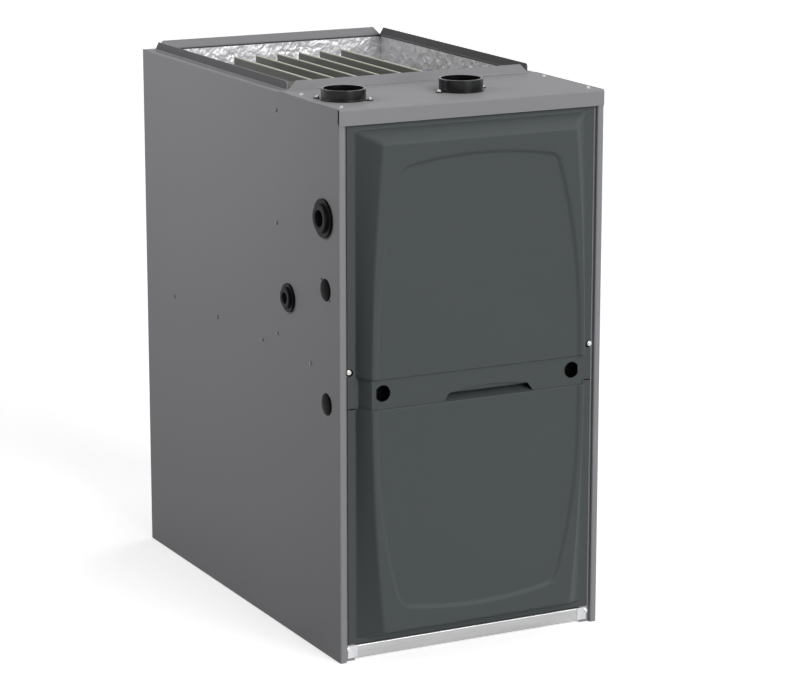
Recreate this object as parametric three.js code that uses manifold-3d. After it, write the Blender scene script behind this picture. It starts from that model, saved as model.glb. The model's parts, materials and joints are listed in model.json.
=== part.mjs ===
// Forced air gas furnace, upflow, condensing. Millimetres, +Z up, front towards -Y.
// The origin is the middle of the closed bottom, on the floor.

import * as THREE from 'three';
import { mergeVertices } from 'three/addons/utils/BufferGeometryUtils.js';
import Module from 'manifold-3d';

const wasm = await Module();
wasm.setup();

// ---------------------------------------------------------------- driving sizes

// Cabinet
const cabinetWidth = 445;
const cabinetDepth = 730;
const cabinetHeight = 838;
const sheet = 1.2;
const bend = 1.6;
const gap = 0.4;
const frontFlange = 11;
const flangeReturn = 6.4;
const stopFlange = 16;
const lipHeight = 24;
const lipSeam = 1;
const topShelf = 17;

// Supply air opening
const openingFront = -160;
const ductInset = 15.5;
const ductHeight = 14;
const ductCorner = 4;

// Bottom, base rail, vestibule panel and blower deck
const baseFlange = 25;
const railBottom = 2;
const railTop = 24;
const railReturn = 12;
const railTab = 14;
const vestibuleFlange = 15;
const deckHeight = 430;
const deckFlange = 26;
const deckApron = 64;

// Doors: the parting lies below the deck, and the upper door hangs over it
const doorSide = 4;
const doorSheet = 2;
const doorWall = 7;
const doorBorder = 13;
const doorHeadroom = 25;
const doorBottom = 26.5;
const partingDrop = 26;
const overhang = 12.5;
const doorGap = 0.8;
const pillowDepth = 28;
const topMargin = 7;
const bottomMargin = 9;
const topBevel = 19;
const bottomBevel = 11;
const sideBevel = 14;
const cornerBevel = 21;
const bandHeight = 33;
const recessDepth = 3;
const recessStep = 5;
const recessMargin = 23;
const recessTaper = 37;
const archMarginTop = 43;
const archMarginBottom = 36;
const archRadius = 666;

// Finger slot, the two wells and the screw notches in the upper door
const slotCentre = 14;
const slotWidth = 151;
const slotSlant = 8;
const slotShoulder = 11.5;
const slotRise = 7.5;
const wellRise = 11.5;
const wellRadius = 12.5;
const wellFlat = 10.8;
const wellDepth = 17;
const wellWall = 1.6;
const bandInset = 4.5;
const notchRadius = 5.5;
const notchInset = 4;
const notchRise = 9;

// Vent and intake collars
const pipeRadius = 30.3;
const collarWall = 3.4;
const collarForward = 115;
const intakeMargin = 52.5;
const ventX = 26;
const intakeRise = 17;
const ventRise = 19;
const collarSkirt = 26;
const collarEar = 12;
const intakeEarAngle = THREE.MathUtils.degToRad(-42);
const ventEarAngle = THREE.MathUtils.degToRad(8);

// Heat exchanger
const cellCount = 6;
const cellPitch = 39;
const cellDrop = 9;
const coilRoom = 130;
const cellEndRoom = 90;
const cellHalf = 12;
const seamHalf = 1.4;
const seamHeight = 14;
const passCount = 4;
const coilHalf = 184;
const finCount = 13;
const finDepth = 20;
const linerThickness = 12;

// Blower
const wheelRadius = 115;
const wheelWidth = 210;
const bladeCount = 24;
const bladeChord = 19;
const bladeThickness = 1.2;
const scrollWidth = 250;
const blowerY = -60;
const blowerZ = 182;
const outletFront = 43;
const outletBack = 170;
const shaftRadius = 6.35;
const motorRadius = 70;
const motorLength = 118;

// Draft inducer
const inducerRise = 110;
const inducerWheel = 37;
const inducerDepth = 50;
const inducerMotor = 34;
const collectorHalf = 74;

// Burners and gas train
const burnerDrop = 93;
const burnerRadius = 13;
const burnerLength = 52;
const manifoldRadius = 9;
const manifoldForward = 69;
const valveMargin = 72.5;
const valveLift = 32.5;
const valveTop = 36;
const knobRadius = 13;
const knobDepth = 13;

// Controls and sensors
const limitX = -60;
const limitDrop = 85;
const pressureMargin = 57.5;
const pressureRise = 116;
const pressureRadius = 40;
const pressureDepth = 34;
const trapMargin = 59.5;
const trapHalf = 33;
const trapDepth = 62;
const trapHeight = 86;
const controlX = -113;
const controlBack = 44;
const controlDrop = 80;
const controlSheet = 1.4;
const plateHalf = 83;
const plateDrop = 88;
const boardHalf = 72;
const boardRise = 54;
const boardThickness = 1.8;
const transformerX = 20;
const transformerDrop = 66;
const coreHalf = 30;
const coreDepth = 44;
const switchX = 100;
const switchDrop = 46;
const switchHalf = 16;
const plungerRadius = 4;
const plungerTravel = 3;

// Planes and places that follow from these sizes
const halfWidth = cabinetWidth / 2;
const front = -cabinetDepth / 2;
const back = cabinetDepth / 2;
const wall = halfWidth - sheet;
const inner = wall - gap;
const stopFront = front + flangeReturn;
const stopBack = stopFront + sheet;
const stopEdge = halfWidth - frontFlange - stopFlange;
const topUnder = cabinetHeight - sheet - gap;
const vestibuleFront = openingFront;
const vestibuleBack = openingFront + sheet;
const deckTop = deckHeight + sheet;

const doorBack = stopFront - gap;
const doorPlane = doorBack - doorSheet;
const doorHalf = halfWidth - frontFlange - doorSide;
const doorTop = cabinetHeight - doorHeadroom;
const doorSplit = deckHeight - partingDrop;
const partingHeight = doorSplit - overhang;
const pillowHalf = doorHalf - doorBorder;
const pillowTop = doorTop - topMargin;
const pillowBottom = doorBottom + bottomMargin;
const bandTop = doorSplit + bandHeight;
const recessHalf = pillowHalf - recessMargin;
const recessArchTop = pillowTop - archMarginTop;
const recessArchBottom = pillowBottom + archMarginBottom;
const wellSpread = recessHalf - wellFlat;
const wellHeight = doorSplit + wellRise;
const notchSpread = doorHalf - notchInset;
const notchHeight = bandTop + notchRise;

const collarY = openingFront - collarForward;
const intakeX = intakeMargin - halfWidth;
const cellTop = cabinetHeight - cellDrop;
const cellBottom = deckHeight + coilRoom;
const cellBack = back - cellEndRoom;
const inducerZ = deckHeight + inducerRise;
const burnerZ = cabinetHeight - burnerDrop;
const manifoldY = openingFront - manifoldForward;
const valveX = valveMargin - halfWidth;
const valveZ = (burnerZ + deckHeight) / 2 + valveLift;
const controlZ = deckHeight - controlDrop;
const switchZ = deckHeight - switchDrop;

// Side openings: the gas pipe comes in above the valve, the drain and the plugs sit near the deck
const gasEntry = { y: front + 49, z: valveZ + 52 };
const drainEntry = { y: openingFront - 33, z: deckHeight + 99 };
const largeGrommet = { ...gasEntry, flange: 29, collar: 22, bore: 13, proud: 9 };
const smallGrommet = { ...drainEntry, flange: 22, collar: 16.5, bore: 9, proud: 8 };
const upperHole = { y: front + 45, z: deckHeight + 135, radius: 16 };
const lowerHole = { y: front + 43, z: deckHeight - 38, radius: 16 };
const pilotRadius = 2;
const pilotSpread = 14;

// ---------------------------------------------------------------- finishes

const finish = (color, roughness, metalness) =>
  new THREE.MeshStandardMaterial({ color, roughness, metalness, flatShading: true });
const cabinetPaint = () => finish(0x88888c, 0.5, 0.2);
const doorPaint = () => finish(0x4a5052, 0.45, 0.2);
const galvanised = () => finish(0xb9bcbe, 0.35, 0.85);
const heatSteel = () => finish(0x6f6f64, 0.45, 0.8);
const foil = () => finish(0xc9cbcc, 0.3, 0.9);
const blackPlastic = () => finish(0x0f1112, 0.25, 0);
const rubber = () => finish(0x151617, 0.6, 0);
const castMetal = () => finish(0x8f9294, 0.5, 0.7);
const motorPaint = () => finish(0x2b2d2f, 0.4, 0.3);
const greyPlastic = () => finish(0x9a9c9a, 0.6, 0);
const boardGreen = () => finish(0x2c5b3c, 0.5, 0);
const zinc = () => finish(0xd6d8d8, 0.3, 0.9);

// ---------------------------------------------------------------- geometry helpers

// Merges shared corners, drops collapsed triangles and turns the faces outwards.
function tidy(geometry) {
  const bare = new THREE.BufferGeometry();
  bare.setAttribute('position', geometry.getAttribute('position'));
  if (geometry.index) bare.setIndex(geometry.index);
  const merged = mergeVertices(bare, 1e-4);
  const position = merged.getAttribute('position');
  const corner = [new THREE.Vector3(), new THREE.Vector3(), new THREE.Vector3()];
  const kept = [];
  let volume = 0;
  for (let i = 0; i < merged.index.count; i += 3) {
    const triangle = [0, 1, 2].map((k) => merged.index.getX(i + k));
    if (new Set(triangle).size < 3) continue;
    triangle.forEach((vertex, k) => corner[k].fromBufferAttribute(position, vertex));
    volume += corner[0].dot(corner[1].clone().cross(corner[2]));
    kept.push(triangle);
  }
  merged.setIndex(kept.flatMap((t) => (volume < 0 ? [t[0], t[2], t[1]] : t)));
  return merged;
}

function toSolid(geometry) {
  const closed = tidy(geometry);
  return new wasm.Manifold(new wasm.Mesh({
    numProp: 3,
    vertProperties: new Float32Array(closed.getAttribute('position').array),
    triVerts: new Uint32Array(closed.index.array),
  }));
}

function toGeometry(solid) {
  const mesh = solid.getMesh();
  const geometry = new THREE.BufferGeometry();
  geometry.setAttribute('position', new THREE.BufferAttribute(mesh.vertProperties, 3));
  geometry.setIndex(Array.from(mesh.triVerts));
  return geometry;
}

const join = (first, ...rest) => toGeometry(rest.reduce((sum, g) => sum.add(toSolid(g)), toSolid(first)));
const cut = (first, ...rest) => toGeometry(rest.reduce((sum, g) => sum.subtract(toSolid(g)), toSolid(first)));

const span = (x0, x1, y0, y1, z0, z1) =>
  new THREE.BoxGeometry(x1 - x0, y1 - y0, z1 - z0).translate((x0 + x1) / 2, (y0 + y1) / 2, (z0 + z1) / 2);

// The same box on either side of the middle: a and b are distances from it.
const sideSpan = (side, a, b, ...rest) => (side > 0 ? span(a, b, ...rest) : span(-b, -a, ...rest));
const bothSides = (make) => [make(-1), make(1)];

function outline(points, holes = []) {
  const shape = new THREE.Shape(points.map(([a, b]) => new THREE.Vector2(a, b)));
  for (const hole of holes) shape.holes.push(new THREE.Path(hole.map(([a, b]) => new THREE.Vector2(a, b))));
  return shape;
}

const extrude = (points, depth, holes) =>
  new THREE.ExtrudeGeometry(outline(points, holes), { depth, bevelEnabled: false });

// Prisms along one axis: the outline is in (y, z), (x, z) or (x, y).
const turnToX = new THREE.Matrix4().set(0, 0, 1, 0, 1, 0, 0, 0, 0, 1, 0, 0, 0, 0, 0, 1);
const turnToY = new THREE.Matrix4().set(1, 0, 0, 0, 0, 0, -1, 0, 0, 1, 0, 0, 0, 0, 0, 1);
const prismX = (points, x0, x1, holes) =>
  extrude(points, x1 - x0, holes).applyMatrix4(turnToX).translate(x0, 0, 0);
const prismY = (points, y0, y1, holes) =>
  extrude(points, y1 - y0, holes).applyMatrix4(turnToY).translate(0, y1, 0);
const prismZ = (points, z0, z1, holes) => extrude(points, z1 - z0, holes).translate(0, 0, z0);

function circle(radius, a = 0, b = 0, sides = 20) {
  return Array.from({ length: sides }, (_, i) => {
    const angle = (i / sides) * 2 * Math.PI;
    return [a + radius * Math.cos(angle), b + radius * Math.sin(angle)];
  });
}

// Turned shapes: the profile is [radius, distance along the axis].
const turned = (profile, sides = 24) => {
  const closed = profile[0][0] === 0 && profile.at(-1)[0] === 0 ? profile : [...profile, profile[0]];
  return new THREE.LatheGeometry(closed.map(([r, h]) => new THREE.Vector2(r, h)), sides);
};
const turnedX = (profile, sides) => turned(profile, sides).rotateZ(-Math.PI / 2);
const turnedY = (profile, sides) => turned(profile, sides);
const turnedZ = (profile, sides) => turned(profile, sides).rotateX(Math.PI / 2);

function mirrored(geometry) {
  return tidy(geometry.clone().applyMatrix4(new THREE.Matrix4().makeScale(-1, 1, 1)));
}

// The section of a folded sheet. It follows a path, lies on its left and has round bends.
function foldedSheet(path, thickness = sheet, radius = bend, steps = 3) {
  const points = path.map(([a, b]) => new THREE.Vector2(a, b));
  const heading = points.slice(1).map((p, i) => p.clone().sub(points[i]).normalize());
  const left = (d) => new THREE.Vector2(-d.y, d.x);
  const near = [points[0].clone()];
  const far = [points[0].clone().addScaledVector(left(heading[0]), thickness)];
  for (let i = 1; i < points.length - 1; i += 1) {
    const turn = heading[i - 1].cross(heading[i]);
    const angle = Math.asin(THREE.MathUtils.clamp(turn, -1, 1));
    const sign = Math.sign(turn);
    const arc = turn > 0 ? radius + thickness : radius;
    const centre = points[i].clone()
      .addScaledVector(heading[i - 1], -arc * Math.tan(Math.abs(angle) / 2))
      .addScaledVector(left(heading[i - 1]), sign * arc);
    for (let k = 0; k <= steps; k += 1) {
      const normal = left(heading[i - 1]).rotateAround(new THREE.Vector2(), (angle * k) / steps);
      const onLine = centre.clone().addScaledVector(normal, -sign * arc);
      near.push(onLine);
      far.push(onLine.clone().addScaledVector(normal, thickness));
    }
  }
  near.push(points.at(-1).clone());
  far.push(points.at(-1).clone().addScaledVector(left(heading.at(-1)), thickness));
  return [...near, ...far.reverse()].map((p) => [p.x, p.y]);
}

// A solid between two flat convex rings with the same number of corners.
function loft(near, far) {
  const count = near.length;
  const geometry = new THREE.BufferGeometry();
  geometry.setAttribute('position', new THREE.Float32BufferAttribute([...near, ...far].flat(), 3));
  const faces = [];
  for (let i = 1; i < count - 1; i += 1) faces.push([0, i + 1, i], [count, count + i, count + i + 1]);
  for (let i = 0; i < count; i += 1) {
    const next = (i + 1) % count;
    faces.push([i, next, next + count], [i, next + count, i + count]);
  }
  geometry.setIndex(faces.flat());
  return geometry;
}

const furnace = new THREE.Group();

// Names a piece and puts it in its group, at a place in the group.
function add(name, geometry, material, [x, y, z] = [0, 0, 0], parent = furnace) {
  const mesh = new THREE.Mesh(tidy(geometry), material);
  mesh.name = name;
  mesh.position.set(x, y, z);
  parent.add(mesh);
  return mesh;
}

function groupAt(x, y, z) {
  const group = new THREE.Group();
  group.position.set(x, y, z);
  furnace.add(group);
  return group;
}

// ---------------------------------------------------------------- cabinet shell

// A side sheet with its front flange, the stop that the doors close on, and its top bends.
function sideShell() {
  const plan = foldedSheet([
    [-halfWidth, back], [-halfWidth, front], [-halfWidth + frontFlange, front],
    [-halfWidth + frontFlange, stopFront], [-stopEdge, stopFront],
  ]);
  const ductLine = -halfWidth + ductInset;
  const ledge = foldedSheet([
    [ductLine, cabinetHeight + ductHeight], [ductLine, cabinetHeight],
    [-halfWidth, cabinetHeight], [-halfWidth, cabinetHeight - lipHeight],
  ]);
  const ductStart = openingFront + sheet + gap;
  const ductEnd = back - ductInset - sheet - gap;
  const skirt = cabinetHeight - lipHeight + 2 * bend;
  const endCut = prismX([
    [ductEnd - ductHeight, cabinetHeight + ductHeight + sheet], [ductEnd + sheet, cabinetHeight],
    [ductEnd + ductHeight, cabinetHeight + ductHeight + sheet],
  ], -halfWidth, ductLine + 2 * sheet + bend);
  const corner = cabinetHeight + ductHeight - ductCorner;
  const arc = Array.from({ length: 5 }, (_, i) => {
    const angle = Math.PI / 2 + (i / 4) * (Math.PI / 2);
    return [ductStart + ductCorner * (1 + Math.cos(angle)), corner + ductCorner * Math.sin(angle)];
  });
  const cornerCut = prismX([
    ...arc, [ductStart - sheet, corner], [ductStart - sheet, corner + ductCorner + sheet],
    [ductStart + ductCorner, corner + ductCorner + sheet],
  ], -halfWidth, ductLine + 2 * sheet + bend);
  const shell = join(
    prismZ(plan, 0, skirt),
    prismY(ledge, ductStart, ductEnd),
    span(-halfWidth, -wall, front + bend + sheet, ductStart, skirt - sheet, cabinetHeight),
    span(-halfWidth, -wall, ductEnd, back, skirt - sheet, cabinetHeight),
    span(-wall - sheet / 2, -halfWidth + topShelf, front + 4 * bend, ductStart - 2 * gap - sheet,
      topUnder - sheet, topUnder),
  );
  return cut(shell, endCut, cornerCut);
}

const outside = -halfWidth - sheet;
const inside = -wall + sheet;
const roundHole = ({ y, z, radius }, sides) => prismX(circle(radius, y, z, sides), outside, inside);

function grommetHoles() {
  return [largeGrommet, smallGrommet].map(({ y, z, collar }) => roundHole({ y, z, radius: collar }));
}

function pilotHoles({ y, z }) {
  return [-1, 1].map((way) => {
    const offset = way * pilotSpread;
    return roundHole({ y: y - offset, z: z - offset, radius: pilotRadius }, 8);
  });
}

const shell = cut(sideShell(), roundHole(upperHole), roundHole(lowerHole), ...pilotHoles(upperHole));
add('left_side_panel', cut(shell, ...grommetHoles()), cabinetPaint());
add('right_side_panel', mirrored(shell), cabinetPaint());

// Sloped ends of the front and back duct flanges.
function slopedEnds(y0, y1, bottomHalf) {
  const low = cabinetHeight + gap / 2;
  const high = cabinetHeight + ductHeight + sheet;
  return bothSides((side) => prismY([
    [side * bottomHalf, low], [side * (bottomHalf - ductHeight - sheet), high],
    [side * (bottomHalf + ductHeight), high], [side * (bottomHalf + ductHeight), low],
  ], y0, y1));
}

function backPanel() {
  const ductLine = back - ductInset;
  const profile = foldedSheet([
    [back, 0], [back, cabinetHeight], [ductLine, cabinetHeight], [ductLine, cabinetHeight + ductHeight],
  ]);
  const ends = slopedEnds(ductLine - 2 * sheet, back + sheet, halfWidth - ductInset);
  return cut(prismX(profile, -inner, inner), ...ends);
}

function topCap() {
  const lip = front - gap - sheet;
  const profile = foldedSheet([
    [openingFront, cabinetHeight + ductHeight], [openingFront, cabinetHeight],
    [lip, cabinetHeight], [lip, cabinetHeight - lipHeight],
  ]);
  const lipHalf = halfWidth - lipSeam;
  const top = cabinetHeight + ductHeight + sheet;
  const sideTrim = bothSides((side) => sideSpan(
    side, inner, halfWidth, front - gap / 2, openingFront + 2 * sheet, cabinetHeight - lipHeight - sheet, top,
  ));
  const holes = [intakeX, ventX].map((x) => prismZ(
    circle(pipeRadius + collarWall + 3 * gap, x, collarY, 20), cabinetHeight - 2 * sheet, cabinetHeight + sheet,
  ));
  const ends = slopedEnds(openingFront - sheet, openingFront + 3 * sheet, halfWidth - ductInset);
  return cut(prismX(profile, -lipHalf, lipHalf), ...sideTrim, ...holes, ...ends);
}

function basePan() {
  const floorFront = stopBack + gap + railReturn + gap;
  const end = back - sheet - gap;
  return cut(
    span(-inner, inner, floorFront, end, 0, baseFlange),
    span(-inner + sheet, inner - sheet, floorFront + sheet, end - sheet, sheet, baseFlange + sheet),
  );
}

function baseRail() {
  const face = stopFront;
  const profile = foldedSheet([
    [face + railReturn, railTop], [face, railTop], [face, railBottom], [face + railReturn, railBottom],
  ]);
  const tabs = span(-stopEdge - railTab, stopEdge + railTab, stopBack + gap, stopBack + gap + sheet,
    railBottom + sheet / 2, railTop - sheet / 2);
  return join(prismX(profile, -stopEdge + gap, stopEdge - gap), tabs);
}

add('back_panel', backPanel(), cabinetPaint());
add('top_cap', topCap(), cabinetPaint());
add('base_pan', basePan(), galvanised());
add('base_rail', baseRail(), galvanised());

// ---------------------------------------------------------------- partitions inside

function blowerDeck() {
  const deckFront = stopBack + gap;
  const end = back - sheet - gap;
  const openHalf = scrollWidth / 2;
  const profile = foldedSheet([[end, deckTop], [deckFront, deckTop], [deckFront, deckHeight - deckApron]]);
  const sides = bothSides((side) => join(
    sideSpan(side, stopEdge - 1, inner, deckFront + 2 * bend, end, deckHeight, deckTop),
    sideSpan(side, inner - sheet, inner, deckFront + 2 * bend, end, deckHeight, deckHeight + deckFlange),
  ));
  const plungerHole = prismY(
    circle(plungerRadius + gap, switchX, switchZ, 12), deckFront - sheet, deckFront + 2 * sheet,
  );
  const discharge = span(-openHalf, openHalf, blowerY + outletFront, blowerY + outletBack,
    deckHeight - sheet, deckHeight + 2 * sheet);
  return cut(join(prismX(profile, -stopEdge, stopEdge), ...sides), discharge, plungerHole);
}

const cellX = Array.from({ length: cellCount }, (_, i) => (i - (cellCount - 1) / 2) * cellPitch);

function vestibulePanel() {
  const bottom = deckTop + gap;
  const panelHalf = inner - sheet - gap;
  const panel = span(-panelHalf, panelHalf, vestibuleFront, vestibuleBack, bottom, topUnder);
  const flangeBottom = deckHeight + deckFlange + gap;
  const flangeTop = topUnder - bend - gap;
  const flangeBack = vestibuleFront + vestibuleFlange;
  const sides = bothSides((side) => join(
    sideSpan(side, inner - sheet, inner, vestibuleFront, flangeBack, flangeBottom, flangeTop),
    sideSpan(side, inner - 4 * sheet, inner, vestibuleFront, vestibuleBack, flangeBottom, flangeTop),
  ));
  const ports = cellX.map((x) => prismY(
    circle(burnerRadius, x, burnerZ, 12), vestibuleFront - sheet, vestibuleBack + sheet,
  ));
  return cut(join(panel, ...sides), ...ports);
}

add('blower_deck', blowerDeck(), galvanised());
add('vestibule_panel', vestibulePanel(), galvanised());

// ---------------------------------------------------------------- heat exchanger and liners

// One clamshell: a crimped seam along the top and four round passes below it.
function heatExchangerCell() {
  const passHeight = (cellTop - seamHeight - cellBottom) / passCount;
  const half = [[0, seamHalf]];
  half.push([seamHeight * 0.8, seamHalf]);
  for (let pass = 0; pass < passCount; pass += 1) {
    const start = seamHeight + pass * passHeight;
    const swell = [start + passHeight * 0.22, start + passHeight * 0.72];
    half.push([start, seamHalf * 2], ...swell.map((down) => [down, cellHalf]));
  }
  half.push([cellTop - cellBottom, seamHalf * 2]);
  const right = half.map(([down, out]) => [out, cellTop - down]);
  const left = half.map(([down, out]) => [-out, cellTop - down]).reverse();
  return prismY([...left, ...right], vestibuleBack + gap, cellBack);
}

cellX.forEach((x, i) => add(`heat_exchanger_cell_${i + 1}`, heatExchangerCell(), heatSteel(), [x, 0, 0]));

const coilBottom = deckTop + gap;
const coilTop = cellBottom - gap;

// The condensing coil: fins on a frame that stands on the deck beside the blower outlet.
function secondaryCoil() {
  const foot = 28;
  const finBase = deckHeight + 50;
  const pitch = (2 * coilHalf) / finCount;
  const comb = [[-coilHalf, finBase]];
  for (let i = 0; i < finCount; i += 1) {
    const start = i * pitch - coilHalf;
    const end = start + pitch * 0.55;
    comb.push([start, coilTop], [end, coilTop], [end, coilTop - finDepth], [start + pitch, coilTop - finDepth]);
  }
  comb.push([coilHalf, finBase]);
  const y0 = vestibuleBack + gap;
  const feet = bothSides((side) =>
    sideSpan(side, coilHalf - foot, coilHalf, y0, cellBack, coilBottom, finBase + sheet));
  return join(prismY(comb.reverse(), y0, cellBack), ...feet);
}

add('secondary_coil', secondaryCoil(), heatSteel());

const linerFront = vestibuleFront + vestibuleFlange + gap;
const linerBottom = deckHeight + deckFlange + gap;
const linerTop = cabinetHeight - sheet - bend;
const linerBack = back - sheet - gap;

function sideLiner(side) {
  const end = linerBack - linerThickness - gap;
  return sideSpan(side, inner - linerThickness, inner, linerFront, end, linerBottom, linerTop);
}

function backLiner() {
  return span(-inner, inner, linerBack - linerThickness, linerBack, linerBottom, linerTop);
}

add('left_foil_liner', sideLiner(-1), foil());
add('right_foil_liner', sideLiner(1), foil());
add('back_foil_liner', backLiner(), foil());

// ---------------------------------------------------------------- doors

const pillowMiddle = (pillowTop + pillowBottom) / 2;
const pillowReach = (pillowTop - pillowBottom) / 2;

// Half width of the raised front at a height: the side walls lean in towards the corners.
function crestHalf(z) {
  const share = (z - pillowMiddle) / pillowReach;
  return pillowHalf - sideBevel - cornerBevel * share * share;
}

// Half width of the pressed field: barrel shaped, with shallow arches at both ends.
function fieldHalf(z, start, end) {
  const share = THREE.MathUtils.clamp((z - start) / (end - start), 0, 1);
  return recessHalf - recessTaper * share ** 2.4;
}

// The pressing's section across the door, from its middle to its edge: [distance, depth].
function section({ field, crest, base, fieldDepth }) {
  const step = recessStep / 2;
  return [
    [0, fieldDepth], [field * 0.5, fieldDepth], [field - step, fieldDepth],
    [field + step, pillowDepth], [crest - 3, pillowDepth], [crest - 0.6, pillowDepth - 0.9],
    [crest + 1, pillowDepth - 3.2], [base - 1.4, 2.6], [base + 0.4, 0.5], [base + 2.6, 0], [doorHalf, 0],
  ];
}

// A solid door blank with a flat back: rows climb the door, and each follows the pressing's section.
function doorBlank(rows) {
  const grid = rows.map((line) => {
    const right = section(line).map(([x, depth]) => {
      const reach = Math.min(x, line.field);
      const rise = (line.bow * reach * reach) / (2 * archRadius);
      return [x, doorPlane - Math.min(depth, line.depth), line.z + rise];
    });
    return [...right.slice(1).reverse().map(([x, y, z]) => [-x, y, z]), ...right];
  });
  const width = grid[0].length;
  const height = grid.length;
  const face = grid.flat();
  const flat = face.map(([x, , z]) => [x, doorBack, z]);
  const vertices = [...face, ...flat];
  const shift = face.length;
  const faces = [];
  const quad = (a, b, c, d) => faces.push([a, b, c], [a, c, d]);
  for (let j = 0; j < height - 1; j += 1) {
    for (let i = 0; i < width - 1; i += 1) {
      const a = j * width + i;
      quad(a, a + 1, a + width + 1, a + width);
      quad(a + shift, a + width + shift, a + width + 1 + shift, a + 1 + shift);
    }
  }
  for (let i = 0; i < width - 1; i += 1) {
    const top = (height - 1) * width + i;
    quad(i, i + shift, i + 1 + shift, i + 1);
    quad(top, top + 1, top + 1 + shift, top + shift);
  }
  for (let j = 0; j < height - 1; j += 1) {
    const left = j * width;
    const right = left + width - 1;
    quad(left, left + width, left + width + shift, left + shift);
    quad(right, right + shift, right + width + shift, right + width);
  }
  const geometry = new THREE.BufferGeometry();
  geometry.setAttribute('position', new THREE.Float32BufferAttribute(vertices.flat(), 3));
  geometry.setIndex(faces.flat());
  return geometry;
}

// One row: its height, its field and crest widths, and how deep the pressing is there.
function rowAt(z, { end, start, depth = pillowDepth, fieldDepth = pillowDepth, bow = 0, inset = 0 }) {
  const field = fieldHalf(z, start, end);
  return { z, field, crest: crestHalf(z) - inset / 2, base: pillowHalf - inset, depth, fieldDepth, bow };
}

// The hollow behind the pressing, between two heights at its back and two at its front.
function doorHollow([backLow, backHigh], [frontLow, frontHigh]) {
  const reach = pillowDepth - recessDepth - doorSheet;
  const stations = 4;
  const ring = (y, low, high, depth) => {
    const side = Array.from({ length: stations + 1 }, (_, i) => {
      const z = low + ((high - low) * i) / stations;
      const lean = ((pillowHalf - crestHalf(z)) * depth) / pillowDepth;
      return [pillowHalf - lean - doorWall, y, z];
    });
    return [...side, ...side.slice().reverse().map(([x, , z]) => [-x, y, z])];
  };
  return loft(
    ring(doorPlane - reach, frontLow, frontHigh, reach),
    ring(doorBack + doorSheet, backLow, backHigh, 0),
  );
}

// The doors part along one level plane, so that each comes straight forwards past the other.
const farFront = doorPlane - pillowDepth - 12;
const farBack = doorBack + 2 * doorSheet;

function upperDoorBlank() {
  const range = { start: bandTop, end: recessArchTop - 28 };
  const field = { ...range, fieldDepth: pillowDepth - recessDepth };
  const band = { ...range, inset: bandInset };
  const crestTop = pillowTop - topBevel;
  const step = recessStep / 2;
  const sideRows = [0.4, 0.68, 0.86].map((share) => range.start + share * (range.end - range.start));
  return doorBlank([
    rowAt(doorSplit - 22, band),
    rowAt(bandTop - 2 * step, band),
    rowAt(bandTop - step / 2, range),
    ...[bandTop + step, ...sideRows].map((z) => rowAt(z, field)),
    rowAt(recessArchTop - step, { ...field, bow: -1 }),
    rowAt(recessArchTop + step, { ...range, bow: -1 }),
    rowAt(crestTop - 3, range),
    rowAt(crestTop, { ...range, depth: pillowDepth - 1.2 }),
    rowAt(crestTop + 2.5, { ...range, depth: pillowDepth - 4 }),
    rowAt(pillowTop - 1.5, { ...range, depth: 2.4 }),
    rowAt(pillowTop + 0.5, { ...range, depth: 0.4 }),
    rowAt(pillowTop + 2.5, { ...range, depth: 0 }),
    rowAt(doorTop, { ...range, depth: 0 }),
  ]);
}

function lowerDoorBlank() {
  const range = { start: partingHeight - 12, end: recessArchBottom + 21 };
  const field = { ...range, fieldDepth: pillowDepth - recessDepth };
  const crestBottom = pillowBottom + bottomBevel;
  const step = recessStep / 2;
  const sideRows = [0.9, 0.7, 0.4].map((share) => range.start + share * (range.end - range.start));
  return doorBlank([
    rowAt(doorBottom, { ...range, depth: 0 }),
    rowAt(pillowBottom - 2.5, { ...range, depth: 0 }),
    rowAt(pillowBottom - 0.5, { ...range, depth: 0.4 }),
    rowAt(pillowBottom + 1, { ...range, depth: 2.4 }),
    rowAt(crestBottom - 1.5, { ...range, depth: pillowDepth - 4 }),
    rowAt(crestBottom, { ...range, depth: pillowDepth - 1.2 }),
    rowAt(crestBottom + 3, range),
    rowAt(recessArchBottom - step, { ...range, bow: 1 }),
    rowAt(recessArchBottom + step, { ...field, bow: 1 }),
    ...sideRows.map((z) => rowAt(z, field)),
    rowAt(doorSplit + 12, field),
  ]);
}

// Everything on the far side of the parting plane, above or below it.
function partingBlock(rise, offset) {
  const near = partingHeight + offset;
  const far = partingHeight + rise * 60;
  return span(-halfWidth, halfWidth, farFront, farBack, Math.min(near, far), Math.max(near, far));
}

// The web that closes a door along the parting plane, as far back as a given depth.
function partingWeb(offset, thickness, y1) {
  const y0 = doorPlane - pillowDepth + 0.8;
  const half0 = crestHalf(partingHeight) - bandInset;
  const half1 = pillowHalf - bandInset - 1;
  const low = Math.min(offset, offset + thickness);
  const high = Math.max(offset, offset + thickness);
  const ring = (lift) => [
    [-half0, y0, partingHeight + lift], [half0, y0, partingHeight + lift],
    [half1, y1, partingHeight + lift], [-half1, y1, partingHeight + lift],
  ];
  return loft(ring(low), ring(high));
}

function slotOutline() {
  const bottom = partingHeight - 6;
  const top = partingHeight + slotShoulder;
  const half = slotWidth / 2;
  const shoulder = half - slotSlant;
  const lean = slotSlant / slotShoulder;
  const arch = [-1, -0.67, -0.33, 0, 0.33, 0.67, 1].map((t) =>
    [slotCentre + t * (shoulder - 3), top + slotRise * (1 - t * t)]);
  return [
    [slotCentre - half - 6 * lean, bottom], [slotCentre - shoulder - 1, top - 3],
    ...arch,
    [slotCentre + shoulder + 1, top - 3], [slotCentre + half + 6 * lean, bottom],
  ];
}

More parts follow.
